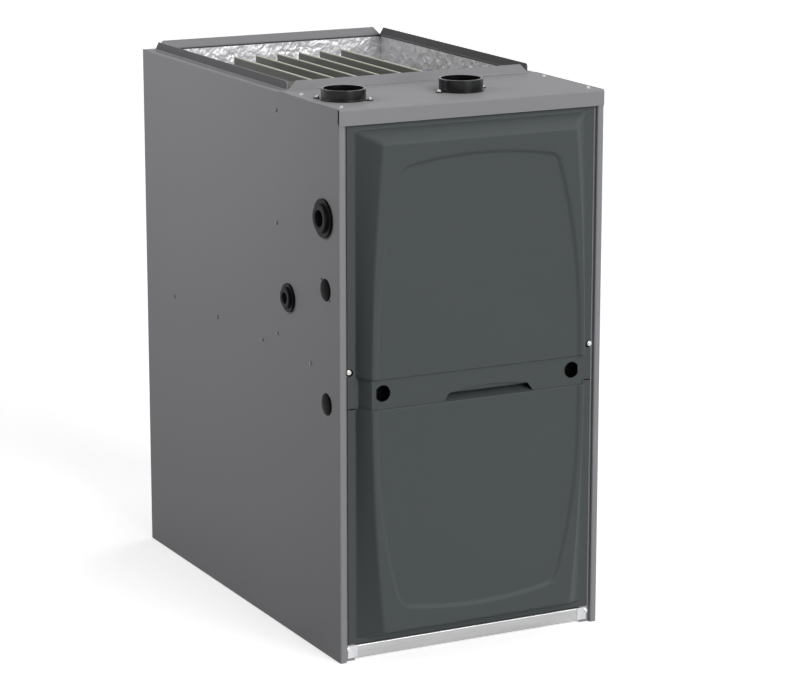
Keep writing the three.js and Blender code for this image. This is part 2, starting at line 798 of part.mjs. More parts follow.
// A round well with its outer side cut flat, as an outline around the well's centre.
function wellOutline(side, radius, flat) {
  const limit = Math.acos(flat / radius);
  const steps = 12;
  return Array.from({ length: steps + 1 }, (_, i) => {
    const angle = limit + (i / steps) * (2 * Math.PI - 2 * limit);
    return [side * (wellSpread + radius * Math.cos(angle)), wellHeight + radius * Math.sin(angle)];
  });
}

function upperDoor() {
  const frontFace = doorPlane - pillowDepth;
  const pocketHalf = slotWidth / 2 + 12;
  const pocketTop = partingHeight + slotShoulder + slotRise + 10;
  const pocketX = [slotCentre - pocketHalf, slotCentre + pocketHalf];
  const pocket = join(
    span(...pocketX, doorPlane - sheet, doorPlane, partingHeight, pocketTop),
    span(...pocketX, frontFace + doorSheet / 2, doorPlane, pocketTop - sheet, pocketTop),
  );
  const hollow = doorHollow([doorSplit - 15, pillowTop - doorWall], [doorSplit - 15, pillowTop - topBevel - 2]);
  const skin = join(cut(upperDoorBlank(), hollow, partingBlock(-1, 0)), partingWeb(0.01, sheet, doorPlane - 1));
  const slot = prismY(slotOutline(), frontFace - 4, doorPlane - 3);
  const wells = bothSides((side) => prismY(
    wellOutline(side, wellRadius, wellFlat), frontFace - 4, frontFace + pillowDepth - 3,
  ));
  const notches = bothSides((side) => prismY([
    ...Array.from({ length: 9 }, (_, i) => {
      const angle = Math.PI / 2 + (i / 8) * Math.PI;
      return [side * (notchSpread + notchRadius * Math.cos(angle)), notchHeight + notchRadius * Math.sin(angle)];
    }),
    [side * (doorHalf + 2), notchHeight - notchRadius], [side * (doorHalf + 2), notchHeight + notchRadius],
  ], doorPlane - 4, doorBack + 2));
  return cut(join(cut(skin, slot), pocket), ...wells, ...notches);
}

// The lower door has a tab behind its top edge, which presses the door switch.
function lowerDoor() {
  const tab = span(switchX - 14, switchX + 14, doorPlane, doorBack, switchZ - 12, partingHeight - doorGap);
  const above = doorSplit + 5;
  const hollow = doorHollow([pillowBottom + doorWall, above], [pillowBottom + bottomBevel + 2, above]);
  const skin = cut(lowerDoorBlank(), hollow, partingBlock(1, -doorGap));
  return join(skin, partingWeb(-doorGap - 0.01, -sheet, doorPlane + 1), tab);
}

add('upper_door', upperDoor(), doorPaint());
add('lower_door', lowerDoor(), doorPaint());

// The black cups behind the two wells of the upper door.
function wellCup(side) {
  const frontFace = doorPlane - pillowDepth;
  const rimFront = frontFace + recessDepth + doorSheet + gap;
  const rim = prismY(wellOutline(side, wellRadius + 3, wellFlat + 3), rimFront, rimFront + wellWall);
  const cup = (inset, start, end) =>
    prismY(wellOutline(side, wellRadius - inset, wellFlat - inset), start, end);
  const body = cup(gap, frontFace + 0.5, frontFace + wellDepth);
  const bore = cup(gap + wellWall, frontFace - 2, frontFace + wellDepth - wellWall);
  return cut(join(rim, body), bore);
}

add('left_door_well', wellCup(-1), blackPlastic());
add('right_door_well', wellCup(1), blackPlastic());

// ---------------------------------------------------------------- grommets, plugs and collars

// A stepped rubber grommet with a lip on both faces of the sheet, turned about X.
function grommet({ flange, collar, bore, proud }) {
  const step = proud * 0.45 + gap;
  const top = proud + gap;
  const inner = sheet + 2 * gap;
  return turnedX([
    [bore, -top], [collar * 0.86, -top], [collar, 1.5 - top], [collar, -step], [flange - 1.5, -step],
    [flange, 1.5 - step], [flange, -gap], [collar - gap, -gap], [collar - gap, inner], [collar + 4, inner],
    [collar + 4, inner + 3], [bore, inner + 3],
  ], 14);
}

add('large_grommet', grommet(largeGrommet), rubber(), [-halfWidth, largeGrommet.y, largeGrommet.z]);
add('small_grommet', grommet(smallGrommet), rubber(), [-halfWidth, smallGrommet.y, smallGrommet.z]);

// A snap-in plug with a low dome and a hollow barrel behind it.
function holePlug({ radius }) {
  return turnedX([
    [0, -2.6], [radius - 4, -2.6], [radius - 1, -1.6], [radius + 0.8, -gap], [radius - gap, -gap],
    [radius - gap, 5], [radius - 2, 5], [radius - 2, 1], [0, 1],
  ], 12);
}

for (const [level, hole] of [['upper', upperHole], ['lower', lowerHole]]) {
  add(`left_${level}_plug`, holePlug(hole), blackPlastic(), [-halfWidth, hole.y, hole.z]);
  add(`right_${level}_plug`, holePlug(hole), blackPlastic(), [halfWidth, hole.y, hole.z]).rotation.z = Math.PI;
}

// A pipe collar: a ring above the top plate, a foot on it, and a skirt below for the inner pipe.
function collar(rise, earAngle) {
  const outer = pipeRadius + collarWall;
  const foot = gap + 1.6;
  const ring = turnedZ([
    [pipeRadius, -collarSkirt], [outer, -collarSkirt], [outer, gap], [outer + 1.4, gap],
    [outer + 1.4, foot], [outer, foot], [outer, rise - 1], [outer - 1, rise], [pipeRadius, rise],
  ], 20);
  const ear = join(
    prismZ(circle(collarEar / 2, outer + collarEar / 2, 0, 12), gap, foot),
    span(outer - 1, outer + collarEar / 2, -collarEar / 2, collarEar / 2, gap, foot),
  );
  return join(ring, ...[earAngle, earAngle + Math.PI].map((angle) => ear.clone().rotateZ(angle)));
}

add('intake_collar', collar(intakeRise, intakeEarAngle), blackPlastic(), [intakeX, collarY, cabinetHeight]);
add('vent_collar', collar(ventRise, ventEarAngle), blackPlastic(), [ventX, collarY, cabinetHeight]);

// ---------------------------------------------------------------- scroll housings and wheels

// The line of a scroll around (0, 0), from the tongue round to the outlet, which points up.
function scrollLine({ small, large, top, tongue }, offset) {
  const steps = 16;
  const line = [[small * Math.cos(tongue) - offset, top]];
  for (let i = 0; i <= steps; i += 1) {
    const share = i / steps;
    const angle = tongue + share * (2 * Math.PI - tongue);
    const radius = small + (large - small) * share + offset;
    const across = i === 0 ? line[0][0] : radius * Math.cos(angle);
    line.push([across, radius * Math.sin(angle)]);
  }
  return [...line, [large + offset, top]];
}

// A scroll in its own frame: it lies in X and Y, is open at the top and has a side plate per inlet.
function scrollHousing(scroll, width, thickness, inlets) {
  const outerLine = scrollLine(scroll, thickness);
  const band = extrude([...outerLine, ...scrollLine(scroll, 0).reverse()], width);
  const plates = inlets.map(({ at, radius }) =>
    extrude(outerLine, thickness, [circle(radius, 0, 0, 16)]).translate(0, 0, at));
  return join(band, ...plates);
}

const blower = groupAt(0, blowerY, blowerZ);
const blowerScroll = {
  small: wheelRadius + 11, large: outletBack, top: deckHeight - gap - blowerZ,
  tongue: Math.acos(outletFront / (wheelRadius + 11)),
};

function blowerHousing() {
  const inlet = wheelRadius - 13;
  const scroll = scrollHousing(blowerScroll, scrollWidth, sheet, [
    { at: 0, radius: inlet }, { at: scrollWidth - sheet, radius: inlet },
  ]);
  const ring = turnedZ([
    [inlet - 4, 10], [inlet - 4, 0], [inlet + 1, -2], [inlet + 7, 0], [inlet + 3, 0.6], [inlet - 1, 10],
  ], 16);
  const far = ring.clone().rotateX(Math.PI).translate(0, 0, scrollWidth);
  return join(scroll, ring, far).applyMatrix4(turnToX).translate(-scrollWidth / 2, 0, 0);
}

add('blower_housing', blowerHousing(), galvanised(), [0, 0, 0], blower);

// A squirrel cage wheel: forward curved blades between two rims, on a plate with a hub.
function blowerWheel() {
  const root = wheelRadius - bladeChord;
  const half = wheelWidth / 2;
  const steps = 2;
  const curve = (share, offset) => {
    const radius = root + (wheelRadius - 1 - root) * share;
    const angle = 0.22 * share * share - 0.05 * share + offset / radius;
    return [radius * Math.cos(angle), radius * Math.sin(angle)];
  };
  const blade = [];
  for (let i = 0; i <= steps; i += 1) blade.push(curve(i / steps, 0));
  for (let i = steps; i >= 0; i -= 1) blade.push(curve(i / steps, bladeThickness));
  const rim = (at) => turned([
    [root - 1, at], [wheelRadius, at], [wheelRadius, at + 4], [root - 1, at + 4],
  ], bladeCount).rotateX(Math.PI / 2);
  const plate = turned([
    [shaftRadius + gap, -12], [18, -12], [18, 0], [root + 3, 0], [root + 3, 2], [18, 2],
    [18, 16], [shaftRadius + gap, 16],
  ], bladeCount).rotateX(Math.PI / 2);
  let wheel = toSolid(plate).add(toSolid(rim(-half))).add(toSolid(rim(half - 4)));
  for (let i = 0; i < bladeCount; i += 1) {
    const turn = (i / bladeCount) * 2 * Math.PI;
    wheel = wheel.add(toSolid(extrude(blade, wheelWidth - 4).translate(0, 0, -half + 2).rotateZ(turn)));
  }
  return toGeometry(wheel).applyMatrix4(turnToX);
}

add('blower_wheel', blowerWheel(), galvanised(), [0, 0, 0], blower);

const motorFront = -24;
const motorSides = 16;
const motorBack = motorFront - motorLength;

add('blower_shaft', turnedX([
  [0, motorFront + gap], [shaftRadius, motorFront + gap], [shaftRadius, 24], [shaftRadius - 1, 25], [0, 25],
], 12), zinc(), [0, 0, 0], blower);

add('blower_motor', turnedX([
  [0, motorBack], [30, motorBack], [34, motorBack + 4], [motorRadius - 5, motorBack + 8],
  [motorRadius, motorBack + 14], [motorRadius, motorFront - 14], [motorRadius - 5, motorFront - 8],
  [20, motorFront - 4], [20, motorFront], [0, motorFront],
], motorSides), motorPaint(), [0, 0, 0], blower);

// The band round the motor and the three arms that hang it on the housing's side.
function motorMount() {
  const bandInner = motorRadius + gap;
  const side = -scrollWidth / 2 - gap;
  const bandEnd = side - 3;
  const bandOuter = bandInner + 3;
  const band = turnedX([
    [bandInner, bandEnd - 18], [bandOuter, bandEnd - 18], [bandOuter, bandEnd + 14], [bandInner, bandEnd + 14],
  ], motorSides);
  const reach = wheelRadius + 6;
  const arms = [0, 1, 2].map((i) => join(
    span(side - 6, side - 2.4, bandInner + 1, reach, -7, 7),
    span(side - 6, side, reach - 10, reach, -7, 7),
  ).rotateX((i / 3) * 2 * Math.PI + Math.PI / 6));
  return join(band, ...arms);
}

add('blower_motor_mount', motorMount(), zinc(), [0, 0, 0], blower);

// Two rails under the deck carry the blower housing.
function blowerRail() {
  const x = scrollWidth / 2 + 2 * gap;
  const profile = foldedSheet([[x + 26, deckHeight - gap], [x, deckHeight - gap], [x, deckHeight - 30]]);
  return prismY(profile, blowerY - 130, blowerY + outletBack + 30);
}

add('left_blower_rail', mirrored(blowerRail()), galvanised());
add('right_blower_rail', blowerRail(), galvanised());

// ---------------------------------------------------------------- collector and draft inducer

const inducerScroll = {
  small: inducerWheel + 6, large: inducerWheel + 26, top: 78, tongue: Math.acos(0.34),
};
const inducerOutlet = (inducerScroll.large + inducerScroll.small * Math.cos(inducerScroll.tongue)) / 2;
const inducerX = ventX + inducerOutlet;
const inducer = groupAt(inducerX, collarY, inducerZ);
const inducerFace = -inducerDepth / 2;

function collectorBox() {
  const half = collectorHalf;
  const corner = half - 14;
  const start = inducerDepth / 2 + gap;
  const body = prismY([
    [-half, -corner], [-corner, -half], [corner, -half], [half, -corner],
    [half, corner], [corner, half], [-corner, half], [-half, corner],
  ], start, vestibuleFront - gap - collarY);
  return cut(body, prismY(circle(inducerWheel * 0.6, 0, 0, 16), start - 1, start + 24));
}

add('collector_box', collectorBox(), blackPlastic(), [0, 0, 0], inducer);

// The scroll is open towards the collector; its outlet points up at the vent pipe.
function inducerHousing() {
  const scroll = scrollHousing(inducerScroll, inducerDepth, 2.2, [{ at: 0, radius: 9 }]);
  const faceToFront = new THREE.Matrix4().set(-1, 0, 0, 0, 0, 0, 1, 0, 0, 1, 0, 0, 0, 0, 0, 1);
  return scroll.applyMatrix4(faceToFront).translate(0, inducerFace, 0);
}

add('inducer_housing', inducerHousing(), blackPlastic(), [0, 0, 0], inducer);

// A back plate with straight blades, and a stub shaft into the motor.
function inducerImpeller() {
  const blades = 8;
  const plate = turnedY([
    [0, -14], [3.5, -14], [3.5, 0], [inducerWheel, 0], [inducerWheel, 1.6], [9, 1.6], [9, 14], [0, 14],
  ], 20);
  const blade = span(8, inducerWheel - 1, 1, 20, -0.9, 0.9);
  const turns = Array.from({ length: blades }, (_, i) => blade.clone().rotateY((i / blades) * 2 * Math.PI));
  return join(plate, ...turns);
}

add('inducer_wheel', inducerImpeller(), blackPlastic(), [0, inducerFace + 8, 0], inducer);

add('inducer_motor', turnedY([
  [4, 0], [18, 0], [18, -6], [inducerMotor, -10], [inducerMotor, -44], [inducerMotor - 4, -48],
  [8, -48], [6, -52], [0, -52], [0, -16], [4, -16],
], 14), motorPaint(), [0, inducerFace - gap, 0], inducer);

function ventPipe() {
  const outer = pipeRadius - gap;
  const top = cabinetHeight - collarSkirt + 12 - inducerZ;
  const bottom = inducerScroll.top + gap;
  return turnedZ([[outer - 4, bottom], [outer, bottom], [outer, top], [outer - 4, top]], 20);
}

add('vent_pipe', ventPipe(), greyPlastic(), [-inducerOutlet, 0, 0], inducer);

// ---------------------------------------------------------------- burners and gas train

// Everything here is measured from the middle of the burner row, on the vestibule panel.
const burnerFace = vestibuleFront - gap;
const burners = groupAt(0, burnerFace, burnerZ);
const rackHalf = cellX.at(-1) + 22;
const rackHeight = 17;

// Six inshot burners on one carrier: a bell at the air end and a narrow throat.
function burnerRack() {
  const mouth = -burnerLength;
  const tube = turnedY([
    [0, mouth + 12], [6, mouth + 12], [burnerRadius + 1, mouth], [9, mouth + 18], [burnerRadius - 1, 0], [0, 0],
  ], 8);
  const carrier = foldedSheet([[-rackHalf, 0], [-rackHalf, -16], [rackHalf, -16], [rackHalf, 0]], 1.4);
  const pipeBack = manifoldY + manifoldRadius + gap - burnerFace;
  const arms = bothSides((side) => sideSpan(side, rackHalf - 5, rackHalf - 3, pipeBack, -15, -8, 8));
  const tubes = cellX.map((x) => tube.clone().translate(x, 0, 0));
  return join(prismZ(carrier, -rackHeight, rackHeight), ...arms, ...tubes);
}

add('burner_rack', burnerRack(), zinc(), [0, 0, 0], burners);

// A sensor or igniter: a body in front of a small plate, with a rod that reaches the flame.
function flameProbe(bodyWidth, rodRadius) {
  const plateTop = -rackHeight - gap;
  return join(
    span(-9, 9, -1.6, 0, plateTop - 19, plateTop),
    span(-bodyWidth / 2, bodyWidth / 2, -40, -28, -31, -21),
    turnedY([[0, -29], [rodRadius, -29], [rodRadius, 0], [0, 0]], 8).translate(0, 0, -26),
  );
}

add('hot_surface_igniter', flameProbe(20, 3.2), greyPlastic(), [cellX.at(-1), 0, 0], burners);
add('flame_sensor', flameProbe(9, 1.6), greyPlastic(), [cellX[0], 0, 0], burners);

const gasTrain = groupAt(valveX, manifoldY, valveZ);

// The manifold pipe with an orifice in front of each burner and a drop to the gas valve.
function gasManifold() {
  const level = burnerZ - valveZ;
  const end = cellX.at(-1) + 20 - valveX;
  const pipe = turnedX([
    [0, -manifoldRadius], [manifoldRadius, -manifoldRadius], [manifoldRadius, end], [0, end],
  ], 12).translate(0, 0, level);
  const drop = turnedZ([[0, valveTop], [manifoldRadius, valveTop], [manifoldRadius, level], [0, level]], 12);
  const reach = manifoldRadius + 8;
  const orifice = turnedY([[0, 0], [5, 0], [5, reach - 3], [2.4, reach], [0, reach]], 6);
  return join(pipe, drop, ...cellX.map((x) => orifice.clone().translate(x - valveX, 0, level)));
}

add('gas_manifold', gasManifold(), castMetal(), [0, 0, 0], gasTrain);

// The cast body with its outlet on top, its inlet at the side and the coil of the operator.
function gasValve() {
  const body = prismY([
    [-40, -30], [30, -30], [38, -20], [38, 18], [26, 26], [-30, 26], [-40, 16],
  ], -32, 30);
  const outlet = turnedZ([[0, 0], [15, 0], [15, valveTop - gap], [0, valveTop - gap]], 12);
  const inlet = turnedX([
    [0, -60], [14, -60], [14, -44], [10, -44], [10, 0], [0, 0],
  ], 12).translate(0, 0, -4);
  const coil = prismX(circle(13, -4, 20, 12), 2, 34);
  return join(body, outlet, inlet, coil);
}

add('gas_valve', gasValve(), castMetal(), [0, 0, 0], gasTrain);

// The knob in front of the valve: a disc with a grip bar, which turns a quarter turn.
function gasKnob() {
  const disc = turnedY([[0, 0], [knobRadius, 0], [knobRadius, -5], [knobRadius - 1.5, -6], [0, -6]], 18);
  return join(disc, span(-2.5, 2.5, -knobDepth, -5, 2 - knobRadius, knobRadius - 2));
}

add('gas_valve_knob', gasKnob(), finish(0x7d1f1a, 0.4, 0), [0, -32 - gap, -2], gasTrain);

// ---------------------------------------------------------------- controls and sensors

function limitSwitch() {
  return join(span(-22, 22, -1.2, 0, -9, 9), turnedY([[0, -16], [12, -16], [13, -15], [13, 0], [0, 0]], 16));
}

add('limit_switch', limitSwitch(), greyPlastic(), [limitX, burnerFace, burnerZ - limitDrop]);

// A round diaphragm housing on a bracket, with one port for its hose.
function pressureSwitch() {
  const r = pressureRadius;
  const rim = 10 - pressureDepth;
  const bracket = span(10 - r, r - 10, -1.4, 0, 18 - r, r + 6);
  const housing = turnedY([
    [0, -pressureDepth], [6, -pressureDepth], [6, rim - 2], [r - 2, rim], [r, rim + 4], [r, -10],
    [r - 4, -6], [10, -1], [0, -1],
  ], 14);
  const port = turnedY([
    [0, -pressureDepth - 12], [3, -pressureDepth - 12], [3, rim + 6], [0, rim + 6],
  ], 8).translate(14, 0, 0);
  return join(bracket, housing, port);
}

add('pressure_switch', pressureSwitch(), blackPlastic(), [
  halfWidth - pressureMargin, burnerFace, inducerZ + pressureRise,
]);

// The condensate trap stands on the deck, with its inlet on top and its drain to the side.
function condensateTrap() {
  const neck = trapHalf / 2;
  const shoulder = trapHeight - 24;
  const body = prismY([
    [-trapHalf, 0], [trapHalf, 0], [trapHalf, shoulder], [neck, trapHeight], [-neck, trapHeight],
    [-trapHalf, shoulder],
  ], -trapDepth / 2, trapDepth / 2);
  const spout = turnedZ([
    [0, trapHeight - 6], [9, trapHeight - 6], [9, trapHeight + 18], [0, trapHeight + 18],
  ], 12);
  const drain = turnedX([
    [0, -trapHalf - 13], [8, -trapHalf - 13], [8, 6 - trapHalf], [0, 6 - trapHalf],
  ], 12).translate(0, 0, trapHeight / 2);
  return join(body, spout, drain);
}

add('condensate_trap', condensateTrap(), blackPlastic(), [
  trapMargin - halfWidth, vestibuleFront - trapDepth / 2 - 14, deckTop + gap,
]);

// The control plate hangs from the deck in the blower compartment, with the board in front of it.
const controls = groupAt(controlX, stopBack + controlBack, controlZ);

function controlPlate() {
  const top = controlDrop - gap;
  const profile = foldedSheet([[22, top], [0, top], [0, -plateDrop]], controlSheet);
  return prismX(profile, -plateHalf, plateHalf);
}

function controlBoard() {
  const face = -6 - gap;
  const posts = [-1, 1].flatMap((x) => [-1, 1].map((z) =>
    prismY(circle(3, x * (boardHalf - 6), z * (boardRise - 4), 6), face, -gap)));
  const relays = [-54, -22, 10].map((x) =>
    span(x - 12, x + 12, face - 16, face + 1, boardRise - 32, boardRise - 12));
  const terminals = span(0, boardHalf - 12, face - 10, face + 1, 10 - boardRise, 22 - boardRise);
  const board = span(-boardHalf, boardHalf, face, face + boardThickness, -boardRise, boardRise);
  return join(board, ...posts, ...relays, terminals);
}

add('control_plate', controlPlate(), galvanised(), [0, 0, 0], controls);
add('control_board', controlBoard(), boardGreen(), [0, 0, 14], controls);

function transformer() {
  const half = coreHalf;
  const core = span(-half, half, -coreDepth, -1, -18, 18);
  const winding = span(10 - half, half - 10, -coreDepth - 6, -2, -13, 13);
  const foot = span(-half - 10, half + 10, -controlSheet, 0, -10, 10);
  return join(core, winding, foot);
}

add('transformer', transformer(), motorPaint(), [transformerX, -gap, -transformerDrop], controls);

// The door switch sits behind the deck's apron; the lower door's tab presses its plunger.
const apronFront = stopBack + gap;
const switchFront = apronFront + sheet + gap;
const plungerFront = doorBack + gap;
const plungerEnd = switchFront + switchHalf;

function doorSwitch() {
  const body = span(-switchHalf, switchHalf, 0, switchHalf + 18, -11, 11);
  const bore = prismY(circle(plungerRadius + gap, 0, 0, 12), -1, plungerEnd + plungerTravel + 2 - switchFront);
  return cut(body, bore);
}

function doorSwitchPlunger() {
  const length = plungerEnd - plungerFront;
  return turnedY([
    [0, 0], [plungerRadius - 1, 0], [plungerRadius, 1], [plungerRadius, length], [0, length],
  ], 12);
}

add('door_switch', doorSwitch(), blackPlastic(), [switchX, switchFront, switchZ]);
add('door_switch_plunger', doorSwitchPlunger(), greyPlastic(), [switchX, plungerFront, switchZ]);

export default furnace;
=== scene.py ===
# %% [markdown]
# A forced air furnace is a tall sheet metal cabinet, closed in front by two pressed doors. The imported model
# already holds every working part at its size, so this notebook only adds what the eye needs: the soft pressing
# of the doors, crinkled foil, moulded rubber, screws, paint and light. First the frame is loaded.

# %% Load the frame
import json
import math

import bmesh
import bpy
import numpy as np
from mathutils import Matrix, Vector


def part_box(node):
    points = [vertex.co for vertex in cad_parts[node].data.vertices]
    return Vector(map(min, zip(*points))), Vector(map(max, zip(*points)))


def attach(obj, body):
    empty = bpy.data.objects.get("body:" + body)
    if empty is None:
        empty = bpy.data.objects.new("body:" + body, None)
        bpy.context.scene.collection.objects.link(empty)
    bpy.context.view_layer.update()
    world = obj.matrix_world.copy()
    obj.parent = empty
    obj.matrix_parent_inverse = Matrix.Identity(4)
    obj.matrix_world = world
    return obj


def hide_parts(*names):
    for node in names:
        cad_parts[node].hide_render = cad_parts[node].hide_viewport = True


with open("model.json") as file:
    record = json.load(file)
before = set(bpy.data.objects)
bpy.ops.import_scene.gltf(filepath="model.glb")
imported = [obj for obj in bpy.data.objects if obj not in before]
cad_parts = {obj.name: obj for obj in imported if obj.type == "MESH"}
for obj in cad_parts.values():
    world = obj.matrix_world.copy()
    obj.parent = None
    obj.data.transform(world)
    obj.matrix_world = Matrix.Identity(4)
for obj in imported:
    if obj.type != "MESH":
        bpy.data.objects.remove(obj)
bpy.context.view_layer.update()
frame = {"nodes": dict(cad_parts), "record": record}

# %% [markdown]
# The furnace was measured in millimetres, and Blender works in metres, so sizes are written as millimetres and
# turned into metres where a mesh is made. The main lines of the cabinet are read back from the frame. The intake
# collar reaches 26 millimetres below the top plate, and the border of each door is two millimetres thick.

# %% Lines of the cabinet
MM = 0.001


def extent(node):
    """Lowest and highest corner of a node in millimetres."""
    low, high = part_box(node)
    return [value / MM for value in low], [value / MM for value in high]


side_low, side_high = extent("left_side_panel")
cabinet_half = -side_low[0]
cabinet_front = side_low[1]
collar_below_plate = 26
top_plate = extent("intake_collar")[0][2] + collar_below_plate
upper_low, upper_high = extent("upper_door")
lower_low, lower_high = extent("lower_door")
door_half = upper_high[0]
door_back = upper_high[1]
door_front = upper_low[1]
door_sheet = 2
door_plane = door_back - door_sheet
pillow_depth = door_plane - door_front
print("cabinet half width", cabinet_half, "door plane", door_plane, "pressing depth", pillow_depth)

# %% [markdown]
# The photograph was taken with a long lens from the front left and a little above. The camera stands almost five
# metres away in that direction and looks straight back. It is moved a little to the right and down, which puts the
# furnace where it stands in the picture, and its lens follows from the focal length in pixels.

# %% Camera
view_turn = math.radians(-27.17)
view_rise = math.radians(13.31)
view_distance = 4.853
view_right = 0.0501
view_up = -0.0260
photo_width = 790
focal_pixels = 3024
sensor_width = 36
middle_height = 0.419

towards_camera = Vector((
    math.sin(view_turn) * math.cos(view_rise),
    -math.cos(view_turn) * math.cos(view_rise),
    math.sin(view_rise),
))
camera_right = Vector((0, 0, 1)).cross(towards_camera).normalized()
camera_up = towards_camera.cross(camera_right)
camera_data = bpy.data.cameras.new("photo_camera")
camera_data.sensor_width = sensor_width
camera_data.lens = sensor_width * focal_pixels / photo_width
camera = bpy.data.objects.new("photo_camera", camera_data)
camera.location = (
    Vector((0, 0, middle_height)) + towards_camera * view_distance
    + camera_right * view_right + camera_up * view_up
)
camera.rotation_mode = "QUATERNION"
camera.rotation_quaternion = towards_camera.to_track_quat("Z", "Y")
bpy.context.scene.collection.objects.link(camera)
bpy.context.scene.camera = camera
print("lens", round(camera_data.lens, 1), "mm")

# %% [markdown]
# Shader graphs are easier to read as sums. `Value` wraps the output of a node, and adding or multiplying two of
# them adds the Math node that does it. `Graph` makes every other kind of node, and `Finish` is the graph of one
# material.

# %% Shader sums
class Value:
    """A node's output that can be used in Python arithmetic."""

    def __init__(self, graph, socket):
        self.graph = graph
        self.socket = socket

    def _math(self, operation, first, second):
        return self.graph.node("ShaderNodeMath", {"operation": operation}, {0: first, 1: second})

    def __add__(self, other):
        return self._math("ADD", self, other)

    def __radd__(self, other):
        return self._math("ADD", other, self)

    def __sub__(self, other):
        return self._math("SUBTRACT", self, other)

    def __rsub__(self, other):
        return self._math("SUBTRACT", other, self)

    def __mul__(self, other):
        return self._math("MULTIPLY", self, other)

    def __rmul__(self, other):
        return self._math("MULTIPLY", other, self)

    def larger(self, other):
        return self._math("MAXIMUM", self, other)


class Graph:
    """A node tree that is built one node at a time."""

    def __init__(self, tree):
        self.tree = tree

    def node(self, kind, settings=None, sockets=None, output=0):
        """Adds a node: its settings first, then the values or links of its sockets."""
        node = self.tree.nodes.new(kind)
        for name, value in (settings or {}).items():
            setattr(node, name, value)
        for name, value in (sockets or {}).items():
            self.plug(value, node.inputs[name])
        return Value(self, node.outputs[output])

    def mix(self, amount, first, second):
        """A colour between two colours, each of them plain or the output of a node."""
        first, second = (end if isinstance(end, Value) else (*end, 1) for end in (first, second))
        return self.node("ShaderNodeMix", {"data_type": "RGBA"}, {0: amount, 6: first, 7: second}, output=2)

    def seen_directly(self):
        """1 for camera, mirror and transmission rays, and 0 for the rays that light the scene."""
        kinds = ("Camera", "Glossy", "Transmission")
        camera_ray, mirror_ray, glass_ray = (
            self.node("ShaderNodeLightPath", output=f"Is {kind} Ray") for kind in kinds
        )
        return camera_ray.larger(mirror_ray).larger(glass_ray)

    def plug(self, value, socket):
        """Links a value to a socket, or sets the socket to a plain number or colour."""
        if isinstance(value, Value):
            self.tree.links.new(value.socket, socket)
        else:
            socket.default_value = value


class Finish(Graph):
    """One material with its Principled shader."""

    def __init__(self, name, colour, roughness, metallic=0.0, specular=0.5):
        self.material = bpy.data.materials.new(name)
        self.material.use_nodes = True
        super().__init__(self.material.node_tree)
        self.shader = self.tree.nodes["Principled BSDF"]
        self.colour = colour
        self.shader.inputs["Base Color"].default_value = (*colour, 1)
        self.shader.inputs["Roughness"].default_value = roughness
        self.shader.inputs["Metallic"].default_value = metallic
        self.shader.inputs["Specular IOR Level"].default_value = specular

    def feed(self, **inputs):
        """Feeds the shader's inputs, with spaces written as underscores."""
        for name, value in inputs.items():
            self.plug(value, self.shader.inputs[name.replace("_", " ")])

    def place(self):
        return self.node("ShaderNodeTexCoord", output="Object")

    def noise(self, scale, detail=2.0, roughness=0.5, stretch=None):
        """Soft noise over the object, with its scale in cycles per metre."""
        where = self.place()
        if stretch:
            where = self.node("ShaderNodeMapping", sockets={"Vector": where, "Scale": stretch})
        sockets = {"Vector": where, "Scale": scale, "Detail": detail, "Roughness": roughness}
        return self.node("ShaderNodeTexNoise", sockets=sockets)

    def shade(self, amount, darker, lighter):
        """The finish's colour, between a darker and a lighter share of itself."""
        low = tuple(channel * darker for channel in self.colour)
        high = tuple(min(1.0, channel * lighter) for channel in self.colour)
        return self.mix(amount, low, high)

    def bump(self, height, strength, distance):
        """A normal that is bent by a height, over a distance in metres."""
        sockets = {"Height": height, "Strength": strength, "Distance": distance}
        return self.node("ShaderNodeBump", sockets=sockets)


def srgb(*channels):
    """Linear values of a colour that is written as it looks, in steps of 0 to 255."""
    shares = [channel / 255 for channel in channels]
    return tuple(c / 12.92 if c <= 0.04045 else ((c + 0.055) / 1.055) ** 2.4 for c in shares)


# %% [markdown]
# Sheet metal paint is never quite even: the sprayed film has a fine orange peel, and large areas drift a little in
# tone. Both are noise. The peel only bends the light through a Bump node, and the drift moves the colour by up to
# three percent. On the two long flanges beside the top opening, the faces that look left are painted darker, a
# painted shade, and are picked out by their height and by the direction of their normal.

# %% Painted steel
def painted(name, colour, roughness, specular, shade_above=None):
    """Sprayed paint. Above a height, the faces that look left are painted darker, a painted shade."""
    paint = Finish(name, colour, roughness, specular=specular)
    drift = paint.noise(3.0, detail=3.0)
    fine = paint.noise(900.0, detail=2.0)
    coat = paint.shade(drift, 0.97, 1.03)
    if shade_above:
        height = paint.node("ShaderNodeSeparateXYZ", sockets={0: paint.place()}, output="Z")
        normal = paint.node("ShaderNodeNewGeometry", output="Normal")
        sideways = paint.node("ShaderNodeSeparateXYZ", sockets={0: normal}, output="X")
        heights = {"Value": height, "From Min": shade_above * MM, "From Max": (shade_above + 1) * MM}
        above = paint.node("ShaderNodeMapRange", sockets=heights)
        left = paint.node("ShaderNodeMapRange", sockets={"Value": sideways, "From Min": -0.4, "From Max": -0.7})
        # Painted shade: above that height, faces that look left are darkened to 42 percent of the colour.
        thin = tuple(channel * 0.42 for channel in colour)
        coat = paint.mix(above * left, coat, thin)
    paint.feed(
        Base_Color=coat,
        Roughness=roughness - 0.03 + drift * 0.06,
        Normal=paint.bump(fine, 0.05, 0.0002),
    )
    return paint.material


# The cabinet paint carries a painted shade on the flange faces that look left above the top plate.
cabinet_paint = painted("cabinet_paint", srgb(147, 147, 150), 0.55, 0.15, shade_above=top_plate + 1)
door_paint = painted("door_paint", srgb(79, 84, 85), 0.45, 0.12)
motor_paint = painted("motor_paint", srgb(40, 42, 44), 0.4, 0.4)

# %% [markdown]
# Galvanised sheet shows the zinc's crystals as a faint patchwork. A Voronoi texture gives patches with straight
# borders, and their grey only changes a little from one to the next. Zinc plated screws are finer and brighter.

